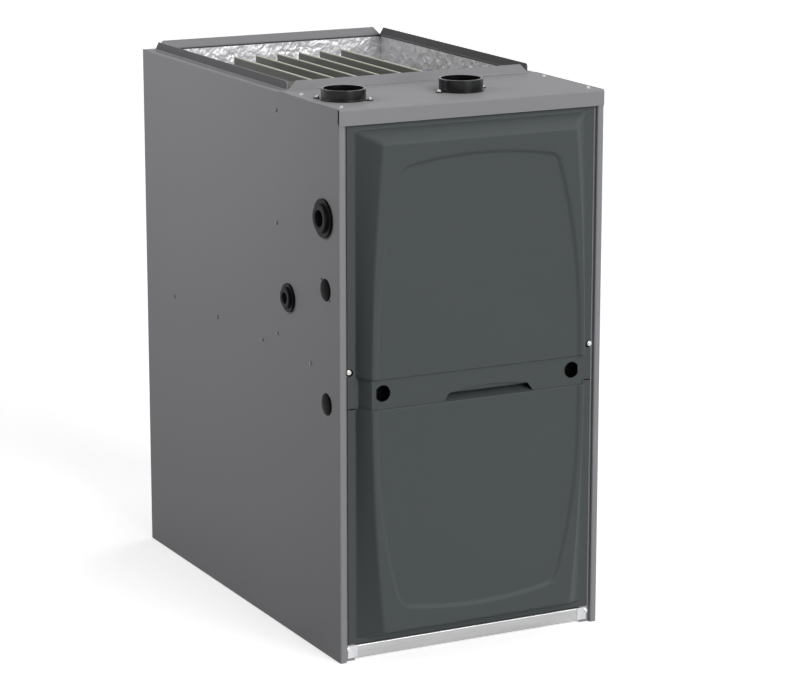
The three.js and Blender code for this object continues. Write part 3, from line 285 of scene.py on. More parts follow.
# %% Zinc and galvanised steel
def galvanised(name, colour, roughness, crystal):
    """Zinc with so many crystals to the metre."""
    metal = Finish(name, colour, roughness, metallic=0.8)
    patches = metal.node(
        "ShaderNodeTexVoronoi", {"feature": "F1"}, {"Vector": metal.place(), "Scale": crystal}, output="Color",
    )
    grey = metal.node("ShaderNodeRGBToBW", sockets={0: patches})
    cloud = metal.noise(40.0, detail=4.0)
    metal.feed(
        Base_Color=metal.shade(grey * 0.6 + cloud * 0.4, 0.86, 1.1),
        Roughness=roughness - 0.05 + grey * 0.1,
    )
    return metal.material


galvanised_steel = galvanised("galvanised_steel", srgb(205, 207, 209), 0.34, 160.0)
zinc_steel = galvanised("zinc_steel", srgb(225, 224, 220), 0.25, 700.0)
dull_zinc = galvanised("dull_zinc", srgb(128, 126, 118), 0.4, 700.0)

# %% [markdown]
# The rail under the doors is the same steel, but rolled bright. Rolling leaves fine lines along the rail, so its
# noise is drawn out along X.

# %% Rolled steel
def rolled(name, colour):
    """Bright steel with lines along X."""
    metal = Finish(name, colour, 0.3, metallic=0.75)
    lines = metal.noise(260.0, detail=5.0, roughness=0.7, stretch=(0.03, 1.0, 1.0))
    patches = metal.noise(14.0, detail=3.0, stretch=(0.4, 1.0, 1.0))
    metal.feed(
        Base_Color=metal.shade(lines * 0.6 + patches * 0.4, 0.72, 1.15),
        Roughness=0.22 + lines * 0.2,
        Normal=metal.bump(lines, 0.25, 0.0004),
    )
    return metal.material


rolled_steel = rolled("rolled_steel", srgb(190, 190, 191))

# %% [markdown]
# The heat exchanger is aluminised steel that dulls to a dark grey. Long streaks run along each cell, so the noise
# is stretched along the depth of the cabinet. The crimped seam along the top of each cell is painted pale, a
# painted highlight where its top catches the light, and its height above the floor picks it out.

# %% Heat exchanger steel
def aluminised(name, colour, seam, seam_start, seam_end):
    """Streaky dull steel whose colour turns into a pale painted highlight on the seam between two heights."""
    metal = Finish(name, colour, 0.45, metallic=0.5)
    streaks = metal.noise(30.0, detail=3.0, stretch=(1.0, 0.15, 1.0))
    cloud = metal.noise(9.0, detail=4.0)
    height = metal.node("ShaderNodeSeparateXYZ", sockets={0: metal.place()}, output="Z")
    # Painted highlight: the top of each cell is mixed to the pale seam colour by height.
    seam_highlight = metal.node(
        "ShaderNodeMapRange", {"interpolation_type": "SMOOTHSTEP"},
        {"Value": height, "From Min": seam_start * MM, "From Max": seam_end * MM},
    )
    body = metal.shade(streaks * 0.5 + cloud * 0.5, 0.75, 1.15)
    metal.feed(Base_Color=metal.mix(seam_highlight, body, seam), Roughness=0.36 + cloud * 0.18)
    return metal.material


cell_top = extent("heat_exchanger_cell_1")[1][2]
heat_steel = aluminised(
    "heat_exchanger_steel", srgb(112, 113, 108), srgb(205, 203, 190), cell_top - 2.2, cell_top - 1.2,
)

# %% [markdown]
# The insulation is faced with thin foil that was crushed when it was laid. Creases are the borders of Voronoi cells
# at two sizes, bent by noise. They are too fine to model, so they go into a Bump node, whose height is in metres.

# %% Crinkled foil
def crinkled(name, colour):
    """Foil with large and small creases."""
    metal = Finish(name, colour, 0.45, metallic=0.4)
    where = metal.place()
    warp = metal.node("ShaderNodeTexNoise", sockets={"Vector": where, "Scale": 25.0}, output="Color")
    shifted = metal.node(
        "ShaderNodeVectorMath", {"operation": "MULTIPLY_ADD"},
        {0: warp, 1: (0.02, 0.02, 0.02), 2: where},
    )
    large = metal.node("ShaderNodeTexVoronoi", {"feature": "F1"}, {"Vector": shifted, "Scale": 60.0})
    small = metal.node("ShaderNodeTexVoronoi", {"feature": "F1"}, {"Vector": shifted, "Scale": 150.0})
    folds = large * 0.7 + small * 0.3
    # Painted shade and sheen: the colour is darker along the creases and lighter between them.
    metal.feed(
        Base_Color=metal.shade(folds, 1.08, 0.8),
        Roughness=0.36 + folds * 0.2,
        Normal=metal.bump(folds, 0.55, 0.006),
    )
    return metal.material


foil = crinkled("foil", srgb(222, 222, 224))

# %% [markdown]
# The collars are glossy moulded plastic and the grommets softer rubber. Both are almost black, so what shows is the
# light on their edges. The wells and plugs would mirror the white room and turn grey, so their black has hardly any
# specular reflection.

# %% Plastics and rubber
def moulded(name, colour, roughness, grain, specular=0.5):
    """Plastic or rubber with a fine grain of some strength."""
    plastic = Finish(name, colour, roughness, specular=specular)
    cloud = plastic.noise(60.0, detail=3.0)
    plastic.feed(
        Base_Color=plastic.shade(cloud, 0.85, 1.15),
        Roughness=roughness - 0.04 + cloud * 0.08,
        Normal=plastic.bump(plastic.noise(1500.0), grain, 0.0001),
    )
    return plastic.material


black_plastic = moulded("black_plastic", srgb(12, 13, 14), 0.22, 0.05, specular=0.3)
deep_black = moulded("deep_black", srgb(7, 7, 8), 0.2, 0.05, specular=0.02)
black_rubber = moulded("black_rubber", srgb(10, 11, 12), 0.4, 0.2, specular=0.08)
grey_plastic = moulded("grey_plastic", srgb(165, 166, 163), 0.5, 0.1)
red_plastic = moulded("red_plastic", srgb(130, 34, 28), 0.4, 0.1)
board_green = moulded("board_green", srgb(36, 92, 58), 0.4, 0.05)


# %% [markdown]
# Cast parts keep the grain of the sand mould, which is a coarser bump under a dull metal.

# %% Cast metal
def cast(name, colour):
    """Metal with the grain of a sand mould."""
    metal = Finish(name, colour, 0.5, metallic=0.6)
    grain = metal.noise(450.0, detail=4.0)
    metal.feed(
        Base_Color=metal.shade(grain, 0.85, 1.1),
        Roughness=0.42 + grain * 0.16,
        Normal=metal.bump(grain, 0.3, 0.0004),
    )
    return metal.material


cast_metal = cast("cast_metal", srgb(150, 152, 154))

# %% [markdown]
# Every node of the frame gets the finish of its slot in the record.

# %% Finishes on the frame
finishes = {
    "cabinet_paint": cabinet_paint,
    "door_paint": door_paint,
    "galvanised_steel": galvanised_steel,
    "heat_exchanger_steel": heat_steel,
    "foil": foil,
    "black_plastic": black_plastic,
    "black_rubber": black_rubber,
    "cast_metal": cast_metal,
    "motor_paint": motor_paint,
    "grey_plastic": grey_plastic,
    "board_green": board_green,
    "zinc_steel": zinc_steel,
    "red_plastic": red_plastic,
}
slots = {part["node"]: part["material_slot"] for part in frame["record"]["subparts"]}
for name, node in frame["nodes"].items():
    node.data.materials.clear()
    node.data.materials.append(finishes[slots[name]])
print(len(slots), "nodes painted")


# %% [markdown]
# New pieces share a few steps: they take a finish, ride the body that carries them, and may stand in for a node of
# the frame. Before each operator everything is deselected, because the loaded frame is selected. Round pieces are
# modelled upright at the origin, as they would lie on a bench, and `seat` then turns them to face their way.

# %% Helpers for new pieces
sides = ((-1, "left"), (1, "right"))
body_of = {
    node: body
    for body, nodes in frame["record"]["behaviour"]["bodies"].items()
    for node in nodes
}


def select_only(*objects):
    """Selects these objects alone, and makes the first one active."""
    bpy.ops.object.select_all(action="DESELECT")
    for item in objects:
        item.select_set(True)
    bpy.context.view_layer.objects.active = objects[0]


def finish_piece(piece, name, material_slot, body, replaces=(), material=None):
    """Names a piece, gives it its finish and puts it on its body."""
    piece.name = name
    piece.data.name = name
    piece.data.materials.clear()
    piece.data.materials.append(material or finishes[material_slot])
    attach(piece, body)
    if replaces:
        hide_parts(*replaces)
    return piece


def apply_modifier(piece, kind, **settings):
    """Adds a modifier with its settings and applies it at once."""
    select_only(piece)
    modifier = piece.modifiers.new(kind.title(), kind)
    for name, value in settings.items():
        setattr(modifier, name, value)
    bpy.ops.object.modifier_apply(modifier=modifier.name)


def smooth(piece, angle):
    """Smooth shading, but for edges that turn by more than an angle."""
    select_only(piece)
    bpy.ops.object.shade_smooth_by_angle(angle=math.radians(angle))


def soften(piece, width, segments=2, over=35):
    """Rounds every edge that turns by more than an angle, and keeps the large faces flat in the shading."""
    apply_modifier(
        piece, "BEVEL", width=width * MM, segments=segments, limit_method="ANGLE",
        angle_limit=math.radians(over), use_clamp_overlap=True,
    )
    smooth(piece, over)
    apply_modifier(piece, "WEIGHTED_NORMAL", keep_sharp=True, weight=100)


def triangles(piece):
    """How many triangles a piece has."""
    piece.data.calc_loop_triangles()
    return len(piece.data.loop_triangles)


def seat(piece, place, facing):
    """Moves a piece that was modelled upright to its place, facing along a direction."""
    turn = Vector(facing).to_track_quat("Z", "Y").to_matrix().to_4x4()
    piece.data.transform(Matrix.Translation(Vector(place) * MM) @ turn)
    piece.matrix_world = Matrix.Identity(4)


def disc(radius, height, corners):
    """An upright disc that stands on the origin."""
    bpy.ops.mesh.primitive_cylinder_add(
        vertices=corners, radius=radius * MM, depth=height * MM, location=(0, 0, height * MM / 2),
    )
    piece = bpy.context.object
    bpy.ops.object.transform_apply(location=True, rotation=False, scale=False)
    return piece


def select_faces(piece, test):
    """Selects the faces that pass a test, in edit mode."""
    select_only(piece)
    bpy.ops.object.mode_set(mode="EDIT")
    bpy.ops.mesh.select_mode(type="FACE")
    bpy.ops.mesh.select_all(action="DESELECT")
    shape = bmesh.from_edit_mesh(piece.data)
    for face in shape.faces:
        face.select_set(test(face))
    bmesh.update_edit_mesh(piece.data)


def step_face(piece, upward, steps):
    """Insets and extrudes the top or bottom face of an upright piece, by (inset, rise) pairs."""
    heights = [corner.co.z for corner in piece.data.vertices]
    level = max(heights) if upward > 0 else min(heights)
    select_faces(piece, lambda face: abs(face.calc_center_median().z - level) < 1e-6 and abs(face.normal.z) > 0.9)
    for inset, rise in steps:
        if inset:
            bpy.ops.mesh.inset(thickness=inset * MM)
        if rise:
            raise_face(rise)


def raise_face(rise):
    """Extrudes the selected face upwards."""
    bpy.ops.mesh.extrude_region_move(TRANSFORM_OT_translate={"value": (0, 0, rise * MM)})


def leave_edit():
    """Back to object mode, where modifiers and transforms apply."""
    bpy.ops.object.mode_set(mode="OBJECT")


def copy_of(piece):
    """A copy with its own mesh."""
    twin = piece.copy()
    twin.data = piece.data.copy()
    bpy.context.scene.collection.objects.link(twin)
    return twin


# %% [markdown]
# ## The doors
# Each door is one sheet pressed to a shallow pillow. The press leaves a flat border, side walls that lean further
# in towards the corners, a crest, and a barrel shaped field three millimetres below the crest. A grid is added and
# its rows and columns are drawn onto those lines, so that the creases run along edges of the mesh. How far the
# sheet stands out at a point is worked out from its distance to each line. The handle band at the foot of the upper
# door lies a little deeper than the crest, and the upper edge of the lower door is rolled over. A name that ends in
# run says how far in a wall leans between its foot and its crest.

# %% Lines of the pressing
pillow_half = 194.5
pillow_top = 806
pillow_bottom = 35.5
side_run = 14
corner_run = 21
top_run = 19
bottom_run = 10.5
field_step = 5
field_drop = 3
field_half = 171.5
field_taper = 37
field_corner = 16
arch_chord = 115
arch_rise = 10
upper_field_start = 437
upper_field_straight = 735
upper_field_top = 763
lower_field_start = 380
lower_field_straight = 92
lower_field_bottom = 71.5
band_top = 437
band_inset = 4.5
band_depth = pillow_depth - 5.5
parting = upper_low[2]
lower_edge = parting - 0.2
edge_roll = 1.6
foot_rounding = 0.05
crest_rounding = 0.1
corner_blend = 0.24
pillow_middle = (pillow_top + pillow_bottom) / 2
pillow_reach = (pillow_top - pillow_bottom) / 2


def ease(share):
    """Smooth step from 0 to 1."""
    share = np.clip(share, 0.0, 1.0)
    return share * share * (3 - 2 * share)


def rounded_ramp(share, foot, crest):
    """0 to 1 in a straight ramp, with its foot and crest rounded over those shares."""
    share = np.asarray(share, float)
    low = np.clip((share + foot) / (2 * foot), 0, 1) ** 2 * foot
    high = np.clip((1 + crest - share) / (2 * crest), 0, 1) ** 2 * crest
    ramp = np.where(share < foot, low, share)
    return np.where(share > 1 - crest, 1 - high, ramp)


def rounded_corner(first, second, radius):
    """Distance inside two lines whose corner is rounded."""
    near = np.minimum(first, second)
    gap_a = np.maximum(radius - first, 0)
    gap_b = np.maximum(radius - second, 0)
    both = (first < radius) & (second < radius)
    return np.where(both, radius - np.hypot(gap_a, gap_b), near)


def base_half(z, with_band):
    """Half width of the pressing's foot, drawn in beside the handle band."""
    inset = band_inset * (1 - ease((z - band_top + 5) / 9)) if with_band else 0.0
    return pillow_half - inset


def side_lean(z):
    """How far the side wall leans in between its foot and its crest."""
    share = (z - pillow_middle) / pillow_reach
    return side_run + corner_run * share * share


def barrel(z, start, end):
    """Half width of the field at a height."""
    share = np.clip((z - start) / (end - start), 0, 1)
    return field_half - field_taper * share ** 2.4


def pressing(x, z, upper):
    """How far the sheet stands out from the border, in millimetres."""
    across = np.abs(x)
    base = base_half(z, upper)
    lean = side_lean(z)
    side = (base - across) / lean
    if upper:
        end = (pillow_top - z) / top_run
    else:
        end = (z - pillow_bottom) / bottom_run
    overlap = np.clip(corner_blend - np.abs(side - end), 0, None)
    share = np.minimum(side, end) - overlap * overlap / (4 * corner_blend)
    height = pillow_depth * rounded_ramp(share, foot_rounding, crest_rounding)
    arch = arch_rise * (x / arch_chord) ** 2
    if upper:
        barrel_half = barrel(z, upper_field_start, upper_field_straight)
        inside = rounded_corner(barrel_half - across, upper_field_top - arch - z, field_corner)
    else:
        barrel_half = barrel(z, lower_field_start, lower_field_straight)
        inside = rounded_corner(barrel_half - across, z - lower_field_bottom - arch, field_corner)
    height = height - field_drop * ease((inside + field_step / 2) / field_step)
    if upper:
        band = band_depth + (pillow_depth - band_depth) * ease((z - band_top + 1.2) / 2.4)
        return np.minimum(height, band)
    past_roll = np.clip(z - (lower_edge - edge_roll), 0, edge_roll)
    return np.maximum(height - (edge_roll - np.sqrt(edge_roll ** 2 - past_roll ** 2)), 0)


# %% [markdown]
# The two doors part along a level plane just below the handle band, and each pressing is folded back there, all the
# way to the cabinet. Rows of the grid stand closer together where the sheet bends.

# %% Rows and columns of the grid
def stations(*runs):
    """Places along a line: each run gives its end and how many steps lead to it."""
    places = [runs[0][0]]
    for (start, _), (end, steps) in zip(runs, runs[1:]):
        places += [start + (end - start) * (i + 1) / steps for i in range(steps)]
    return np.array(places)


def column_places(z, upper):
    """Distances of the columns from the door's middle, at one height."""
    base = base_half(z, upper)
    crest = base - side_lean(z)
    half = stations((0, 0), (crest - 6, 70), (crest + 5, 10), (base - 3, 6), (base + 3, 6), (door_half, 3))
    return np.concatenate([-half[:0:-1], half])


upper_rows = stations(
    (parting, 0), (band_top - 5, 9), (band_top + 5, 14), (upper_field_top - 24, 112),
    (pillow_top - top_run - 4, 24), (pillow_top - top_run + 6, 8), (pillow_top - 2, 8), (pillow_top + 3, 6),
    (upper_high[2], 2),
)
lower_rows = stations(
    (lower_low[2], 0), (pillow_bottom - 3, 2), (pillow_bottom + 2, 5), (pillow_bottom + bottom_run - 2, 5),
    (pillow_bottom + bottom_run + 5, 6), (lower_field_bottom + 30, 26), (lower_edge - edge_roll - 1, 112),
    (lower_edge, 6),
)
print(len(upper_rows), "rows above,", len(lower_rows), "rows below")


# %% [markdown]
# A press works on a flat sheet, and so does this: the grid operator lays down the sheet, its points are moved to
# their places, and Solidify gives the steel its thickness on the inside.

# %% Press a door
steel = 1.4
fold_steps = 8


def press_door(name, rows, upper):
    """A sheet in the shape of a door, folded back to the cabinet where the doors part."""
    lines = []
    for z in rows:
        x = column_places(z, upper)
        height = pressing(x, np.full_like(x, z), upper)
        lines.append(np.stack([x, door_plane - height, np.full_like(x, z)], axis=1))
    edge = lines[0] if upper else lines[-1]
    fold = []
    for step in range(1, fold_steps + 1):
        line = edge.copy()
        line[:, 1] = door_plane + (edge[:, 1] - door_plane) * (1 - step / fold_steps)
        fold.append(line)
    lines = fold[::-1] + lines if upper else lines + fold
    bpy.ops.mesh.primitive_grid_add(x_subdivisions=len(lines[0]) - 1, y_subdivisions=len(lines) - 1, size=1)
    door = bpy.context.object
    door.name = name
    places = np.concatenate(lines) * MM
    door.data.vertices.foreach_set("co", places.astype(np.float32).ravel())
    door.data.update()
    return door


upper_sheet = press_door("upper_sheet", upper_rows, True)
lower_sheet = press_door("lower_sheet", lower_rows, False)
print("sheets", triangles(upper_sheet), triangles(lower_sheet))

# %% Thickness of the steel
for door in (upper_sheet, lower_sheet):
    apply_modifier(door, "SOLIDIFY", thickness=steel * MM, offset=-1.0)
    print(door.name, [round(v, 4) for v in door.dimensions])


# %% [markdown]
# Holes are punched through the finished pressing. Each punch is an outline that is extruded along the depth, and a
# Boolean modifier cuts with it.

# %% Punches
def prism(outline, start, end):
    """A solid between two depths, from an outline of (x, z) points."""
    mesh = bpy.data.meshes.new("prism")
    shape = bmesh.new()
    ring = [shape.verts.new((x * MM, start * MM, z * MM)) for x, z in outline]
    face = shape.faces.new(ring)
    grown = bmesh.ops.extrude_face_region(shape, geom=[face])["geom"]
    moved = [item for item in grown if isinstance(item, bmesh.types.BMVert)]
    bmesh.ops.translate(shape, verts=moved, vec=(0, (end - start) * MM, 0))
    bmesh.ops.recalc_face_normals(shape, faces=shape.faces)
    shape.to_mesh(mesh)
    shape.free()
    solid = bpy.data.objects.new("prism", mesh)
    bpy.context.scene.collection.objects.link(solid)
    return solid


def punch(target, *tools):
    """Cuts a piece with each tool in turn."""
    for tool in tools:
        apply_modifier(target, "BOOLEAN", operation="DIFFERENCE", object=tool, solver="EXACT")
        bpy.data.objects.remove(tool)


well_centre = 160.7
well_height = 415.5
well_radius = 12.5
well_flat = 10.8


def well_outline(side, steps=40):
    """The D shaped outline of a well: round, with its outer side cut flat."""
    limit = math.acos(well_flat / well_radius)
    angles = [limit + i * (2 * math.pi - 2 * limit) / steps for i in range(steps + 1)]
    return [
        (side * (well_centre + well_radius * math.cos(a)), well_height + well_radius * math.sin(a))
        for a in angles
    ]


# Left end, rounded shoulder, shallow arch, right shoulder and slanted right end.
slot_outline = [
    (-60, 387), (-57.5, 392), (-53.2, 398.8), (-51.6, 401.2), (-49.6, 402.9), (-46.5, 404), (-38, 405.4),
    (-25, 407.1), (-10.5, 408.6), (3, 409.7), (17, 410.1), (31, 409.7), (45, 408.7), (57, 407.5), (67.6, 406.3),
    (78, 405.2), (82.9, 404.4), (85, 403.2), (86.4, 401.4), (92.5, 393), (96, 387),
]


screw_across = 203.5
screw_height = 446
notch_radius = 5.5


def notch_outline(side):
    """A round notch that opens at the door's edge."""
    angles = [math.pi / 2 + i * math.pi / 16 for i in range(17)]
    points = [
        (side * (screw_across + notch_radius * math.cos(a)), screw_height + notch_radius * math.sin(a))
        for a in angles
    ]
    out = side * (door_half + 3)
    return points + [(out, screw_height - notch_radius), (out, screw_height + notch_radius)]


punch(
    upper_sheet,
    prism(slot_outline, door_front - 5, door_plane - 2),
    *[prism(well_outline(side), door_front - 5, door_front + 12) for side, _ in sides],
    *[prism(notch_outline(side), door_plane - 3, door_back + 3) for side, _ in sides],
)
for door, name in ((upper_sheet, "upper_door"), (lower_sheet, "lower_door")):
    smooth(door, 38)
    finish_piece(door, name + "_pressing", "door_paint", name, replaces=[name])
    print(door.name, triangles(door))

# %% [markdown]
# Behind the slot sits a small pocket that keeps fingers out of the cabinet, with a plate across its top whose level
# edge the fingers pull on. Both start as cubes. The pocket loses its front face, the back edge of its floor is
# lifted so that the floor slopes like a scoop, and Solidify gives the rest a thickness. A small tab behind the
# lower door presses the door switch.

# %% Finger pocket
band_back = door_plane - band_depth + steel


def block(low, high):
    """A cube with its corners at two points, in millimetres."""
    middle = [(a + b) / 2 * MM for a, b in zip(low, high)]
    size = [(b - a) * MM for a, b in zip(low, high)]
    bpy.ops.mesh.primitive_cube_add(size=1, location=middle, scale=size)
    piece = bpy.context.object
    bpy.ops.object.transform_apply(location=True, rotation=False, scale=True)
    return piece


pocket_left = -68
pocket_right = 104
pocket_top = 422
scoop_rise = 5
pocket = block((pocket_left, band_back + 0.3, parting + 0.6), (pocket_right, door_plane - 1, pocket_top))
select_faces(pocket, lambda face: face.normal.y < -0.9)
bpy.ops.mesh.delete(type="FACE")
bpy.ops.mesh.select_mode(type="EDGE")
shape = bmesh.from_edit_mesh(pocket.data)
for edge in shape.edges:
    low_back = all(corner.co.z < 400 * MM and corner.co.y > (door_plane - 2) * MM for corner in edge.verts)
    edge.select_set(low_back)
bmesh.update_edit_mesh(pocket.data)
bpy.ops.transform.translate(value=(0, 0, scoop_rise * MM))
leave_edit()
apply_modifier(pocket, "SOLIDIFY", thickness=MM, offset=1.0)
finish_piece(pocket, "finger_pocket", "door_paint", "upper_door")
pull_plate = block((pocket_left + 4, band_back + 2.2, 403.2), (pocket_right - 4, band_back + 3.4, 416))
soften(pull_plate, 0.4)
finish_piece(pull_plate, "finger_pull_plate", "door_paint", "upper_door")
switch_tab = block((86, door_plane, 372), (114, door_back, lower_edge))
soften(switch_tab, 0.3)
finish_piece(switch_tab, "door_switch_tab", "door_paint", "lower_door")

# %% [markdown]
# Each well is a plastic cup with a D shaped rim. A disc is cut flat with bisect, its front face is inset for the
# rim and pushed inwards for the bowl, and the rim is rounded so that it catches a line of light. The left cup is
# turned half round, so that its flat lies on the outside too.

# %% Wells
cup_length = 15
cup_play = 0.2


def well_cup(side):
    """The cup of one well, which stands a little proud of the handle band."""
    cup = disc(well_radius - cup_play, cup_length, corners=64)
    select_faces(cup, lambda face: True)
    bpy.ops.mesh.bisect(
        plane_co=((well_flat - cup_play) * MM, 0, 0), plane_no=(1, 0, 0), use_fill=True, clear_outer=True,
    )
    leave_edit()
    step_face(cup, 1, [(0.9, 0), (0.3, -13.5)])
    leave_edit()
    soften(cup, 0.4, segments=3)
    if side < 0:
        cup.data.transform(Matrix.Rotation(math.pi, 4, "Z"))
    cup.data.transform(Matrix.Rotation(math.pi / 2, 4, "X"))
    back = door_plane - band_depth - 0.6 + cup_length
    cup.data.transform(Matrix.Translation(Vector((side * well_centre, back, well_height)) * MM))
    return cup


for side, word in sides:
    name = word + "_door_well"
    cup = well_cup(side)
    finish_piece(cup, name + "_cup", "black_plastic", "upper_door", replaces=[name], material=deep_black)
    print(cup.name, triangles(cup))

# %% [markdown]
# ## The cabinet
# The CAD pieces already have the right size, but a knife edge never catches the light. Each piece is copied, its
# points are merged and its flat faces joined, and its edges get a small bevel. The wider bevels go to the folded
# sheets, because a fold has a radius of about the steel's thickness. On round pieces only the sharp rims are
# bevelled. The blower wheel has so many thin blades that it stays as it is.

# %% Dressed copies
def dressed(node, edge, over=35, material=None):
    """A copy of a node with clean faces and rounded edges, which stands in for it."""
    source = frame["nodes"][node]
    piece = bpy.data.objects.new(node + "_dressed", source.data.copy())
    piece.data.transform(source.matrix_world)
    bpy.context.scene.collection.objects.link(piece)
    select_only(piece)
    bpy.ops.object.mode_set(mode="EDIT")
    bpy.ops.mesh.select_all(action="SELECT")
    bpy.ops.mesh.remove_doubles(threshold=0.002 * MM)
    bpy.ops.mesh.dissolve_limited(angle_limit=math.radians(0.5))
    leave_edit()
    soften(piece, edge, over=over)
    return finish_piece(piece, node + "_dressed", slots[node], body_of[node], replaces=[node], material=material)


folded_sheets = [
    "left_side_panel", "right_side_panel", "back_panel", "top_cap", "base_pan", "vestibule_panel", "blower_deck",
]
round_pieces = [
    "intake_collar", "vent_collar", "vent_pipe", "blower_housing", "blower_motor", "blower_shaft", "inducer_motor",
    "inducer_housing", "inducer_wheel", "pressure_switch", "gas_manifold", "burner_rack", "gas_valve_knob",
]
modelled_anew = {
    "upper_door", "lower_door", "left_door_well", "right_door_well", "large_grommet", "small_grommet",
    "left_upper_plug", "left_lower_plug", "right_upper_plug", "right_lower_plug",
}
total = 0
for name in frame["nodes"]:
    if name in modelled_anew or name in ("base_rail", "blower_wheel"):
        continue
    if name in folded_sheets:
        piece = dressed(name, 0.5)
    elif name in round_pieces:
        piece = dressed(name, 0.4, over=48)
    else:
        piece = dressed(name, 0.3)
    total += triangles(piece)
dressed("base_rail", 0.5, material=rolled_steel)
print("dressed pieces have", total, "triangles")

# %% [markdown]
# Grommets and plugs are round, and show it: they are modelled again with more sides. A grommet is a disc whose
# front is stepped up to a collar and whose back is stepped through the sheet. Opening both ends and bridging the
# two rims makes the hole for the pipe.

# %% Grommets
def centre_of(node):
    """The middle of a node's box in millimetres."""
    low, high = extent(node)
    return [(a + b) / 2 for a, b in zip(low, high)]


def grommet(node, flange, collar, bore, proud):
    """A grommet in the left side, from its three radii and how far it stands out."""
    step = proud * 0.45
    ring = disc(flange, step, corners=72)
    step_face(ring, 1, [
        (flange - collar - 1.2, 0), (1.2, 1.2), (0, proud - step - 2.2), (1.0, 1.0), (collar - 1.0 - bore, 0),
    ])
    bpy.ops.mesh.delete(type="FACE")
    leave_edit()
    step_face(ring, -1, [(flange - collar + 0.6, -1.8), (-4.2, 0), (0, -2.8), (collar + 3.6 - bore, 0)])
    bpy.ops.mesh.delete(type="FACE")
    bpy.ops.mesh.select_all(action="DESELECT")
    bpy.ops.mesh.select_mode(type="EDGE")
    bpy.ops.mesh.select_non_manifold()
    bpy.ops.mesh.bridge_edge_loops()
    bpy.ops.mesh.select_all(action="SELECT")
    bpy.ops.mesh.normals_make_consistent(inside=False)
    leave_edit()
    soften(ring, 0.6, segments=3, over=30)
    y, z = centre_of(node)[1:]
    seat(ring, (-cabinet_half, y, z), (-1, 0, 0))
    return finish_piece(ring, node + "_ring", "black_rubber", "cabinet", replaces=[node])


for name, sizes in (("large_grommet", (29, 22, 13, 9)), ("small_grommet", (22, 16.5, 9, 8))):
    ring = grommet(name, *sizes)
    print(ring.name, triangles(ring), [round(v / MM, 1) for v in ring.dimensions])

# %% [markdown]
# A snap-in plug has a low dome over its rim. Starting from a thin disc, the top is extruded and drawn in a little
# more at each step, along a quarter of an ellipse.

# %% Plugs
dome_steps = 7


def dome_angle(step):
    """The angle along the quarter ellipse, which stops a little short of the top."""
    return step / dome_steps * math.pi / 2 * 0.92


def snap_plug(radius, rise):
    """A plug with a thin rim, a dome and a hollow snap end."""
    rim = 0.5
    cap = disc(radius + 0.8, rim, corners=56)
    step_face(cap, 1, [])
    for step in range(1, dome_steps + 1):
        before, after = dome_angle(step - 1), dome_angle(step)
        raise_face((math.sin(after) - math.sin(before)) * (rise - rim))
        share = math.cos(after) / math.cos(before)
        bpy.ops.transform.resize(value=(share, share, 1), center_override=(0, 0, 0))
    leave_edit()
    step_face(cap, -1, [(1.1, -5), (2, 0), (0, 4)])
    leave_edit()
    smooth(cap, 50)
    return cap


for side, word in sides:
    for level in ("upper", "lower"):
        name = f"{word}_{level}_plug"
        cap = snap_plug(16, 2.6)
        seat(cap, (side * cabinet_half, *centre_of(name)[1:]), (side, 0, 0))
        finish_piece(cap, name + "_cap", "black_plastic", "cabinet", replaces=[name], material=deep_black)
print("plug has", triangles(cap), "triangles")

# %% [markdown]
# The cabinet is held together by sheet metal screws with a hexagonal head on a thin washer. One screw is modelled,
# and each place gets a copy of its mesh, turned to its own side. The two screws that hold the upper door sit on
# black discs in the notches of its border, which paint the shade in the notches. The rail is held by a clip at each
# end, and a thin black strip between the top and each side paints the shadow in the seam.

# %% Screws
def model_screw():
    """A screw head on its washer, upright at the origin."""
    washer = disc(3.7, 0.6, corners=28)
    step_face(washer, 1, [(0.6, 0.2)])
    leave_edit()
    head = disc(2.9, 2.5, corners=6)
    soften(head, 0.35, segments=2)
    select_only(washer, head)
    bpy.ops.object.join()
    smooth(washer, 35)
    return washer


stop_front = cabinet_front + 6.4
# Depth and height of the screws in each side, and depth of those along the top.
side_places = [(-154, 809), (-152, 637), (-151, 465), (249, 444), (75, 445), (-96, 444), (-268, 443.5)]
top_places = (-343, -209)
collar_screw_radius = 40
screw_seats = []
for side, word in sides:
    for i, (y, z) in enumerate(side_places):
        screw_seats.append((f"{word}_side_screw_{i + 1}", (side * cabinet_half, y, z), (side, 0, 0)))
    for i, y in enumerate(top_places):
        screw_seats.append((f"{word}_top_screw_{i + 1}", (side * 207, y, top_plate), (0, 0, 1)))
    screw_seats.append((f"{word}_rail_screw", (side * 206, stop_front - 0.8, 18), (0, -1, 0)))
    door_place = (side * (screw_across + 1.5), door_plane + 0.2, screw_height + 1)
    screw_seats.append((f"{word}_door_screw", door_place, (0, -1, 0)))
for collar, angle in (("intake_collar", math.radians(-42)), ("vent_collar", math.radians(8))):
    middle = centre_of(collar)
    for i, turn in enumerate((angle, angle + math.pi)):
        x = middle[0] + collar_screw_radius * math.cos(turn)
        y = middle[1] + collar_screw_radius * math.sin(turn)
        screw_seats.append((f"{collar}_screw_{i + 1}", (x, y, top_plate + 1.9), (0, 0, 1)))

seam_shadow_back = -166
for side, word in sides:
    inner, outer = side * (cabinet_half - 31), side * (cabinet_half - 15)
    clip = block((min(inner, outer), stop_front - 0.8, 4), (max(inner, outer), stop_front - 0.1, 23.5))
    soften(clip, 0.2)
    finish_piece(clip, f"{word}_rail_clip", "galvanised_steel", "cabinet")
    # Painted shadow: a thin black strip in the joint between the top and each side stands in for the shade in the
    # seam.
    inner, outer = side * (cabinet_half - 1.4), side * (cabinet_half - 0.8)
    seam = block(
        (min(inner, outer), cabinet_front + 1, top_plate - 0.4), (max(inner, outer), seam_shadow_back, top_plate + 0.12),
    )
    finish_piece(seam, f"{word}_top_seam_shadow", "black_rubber", "cabinet")

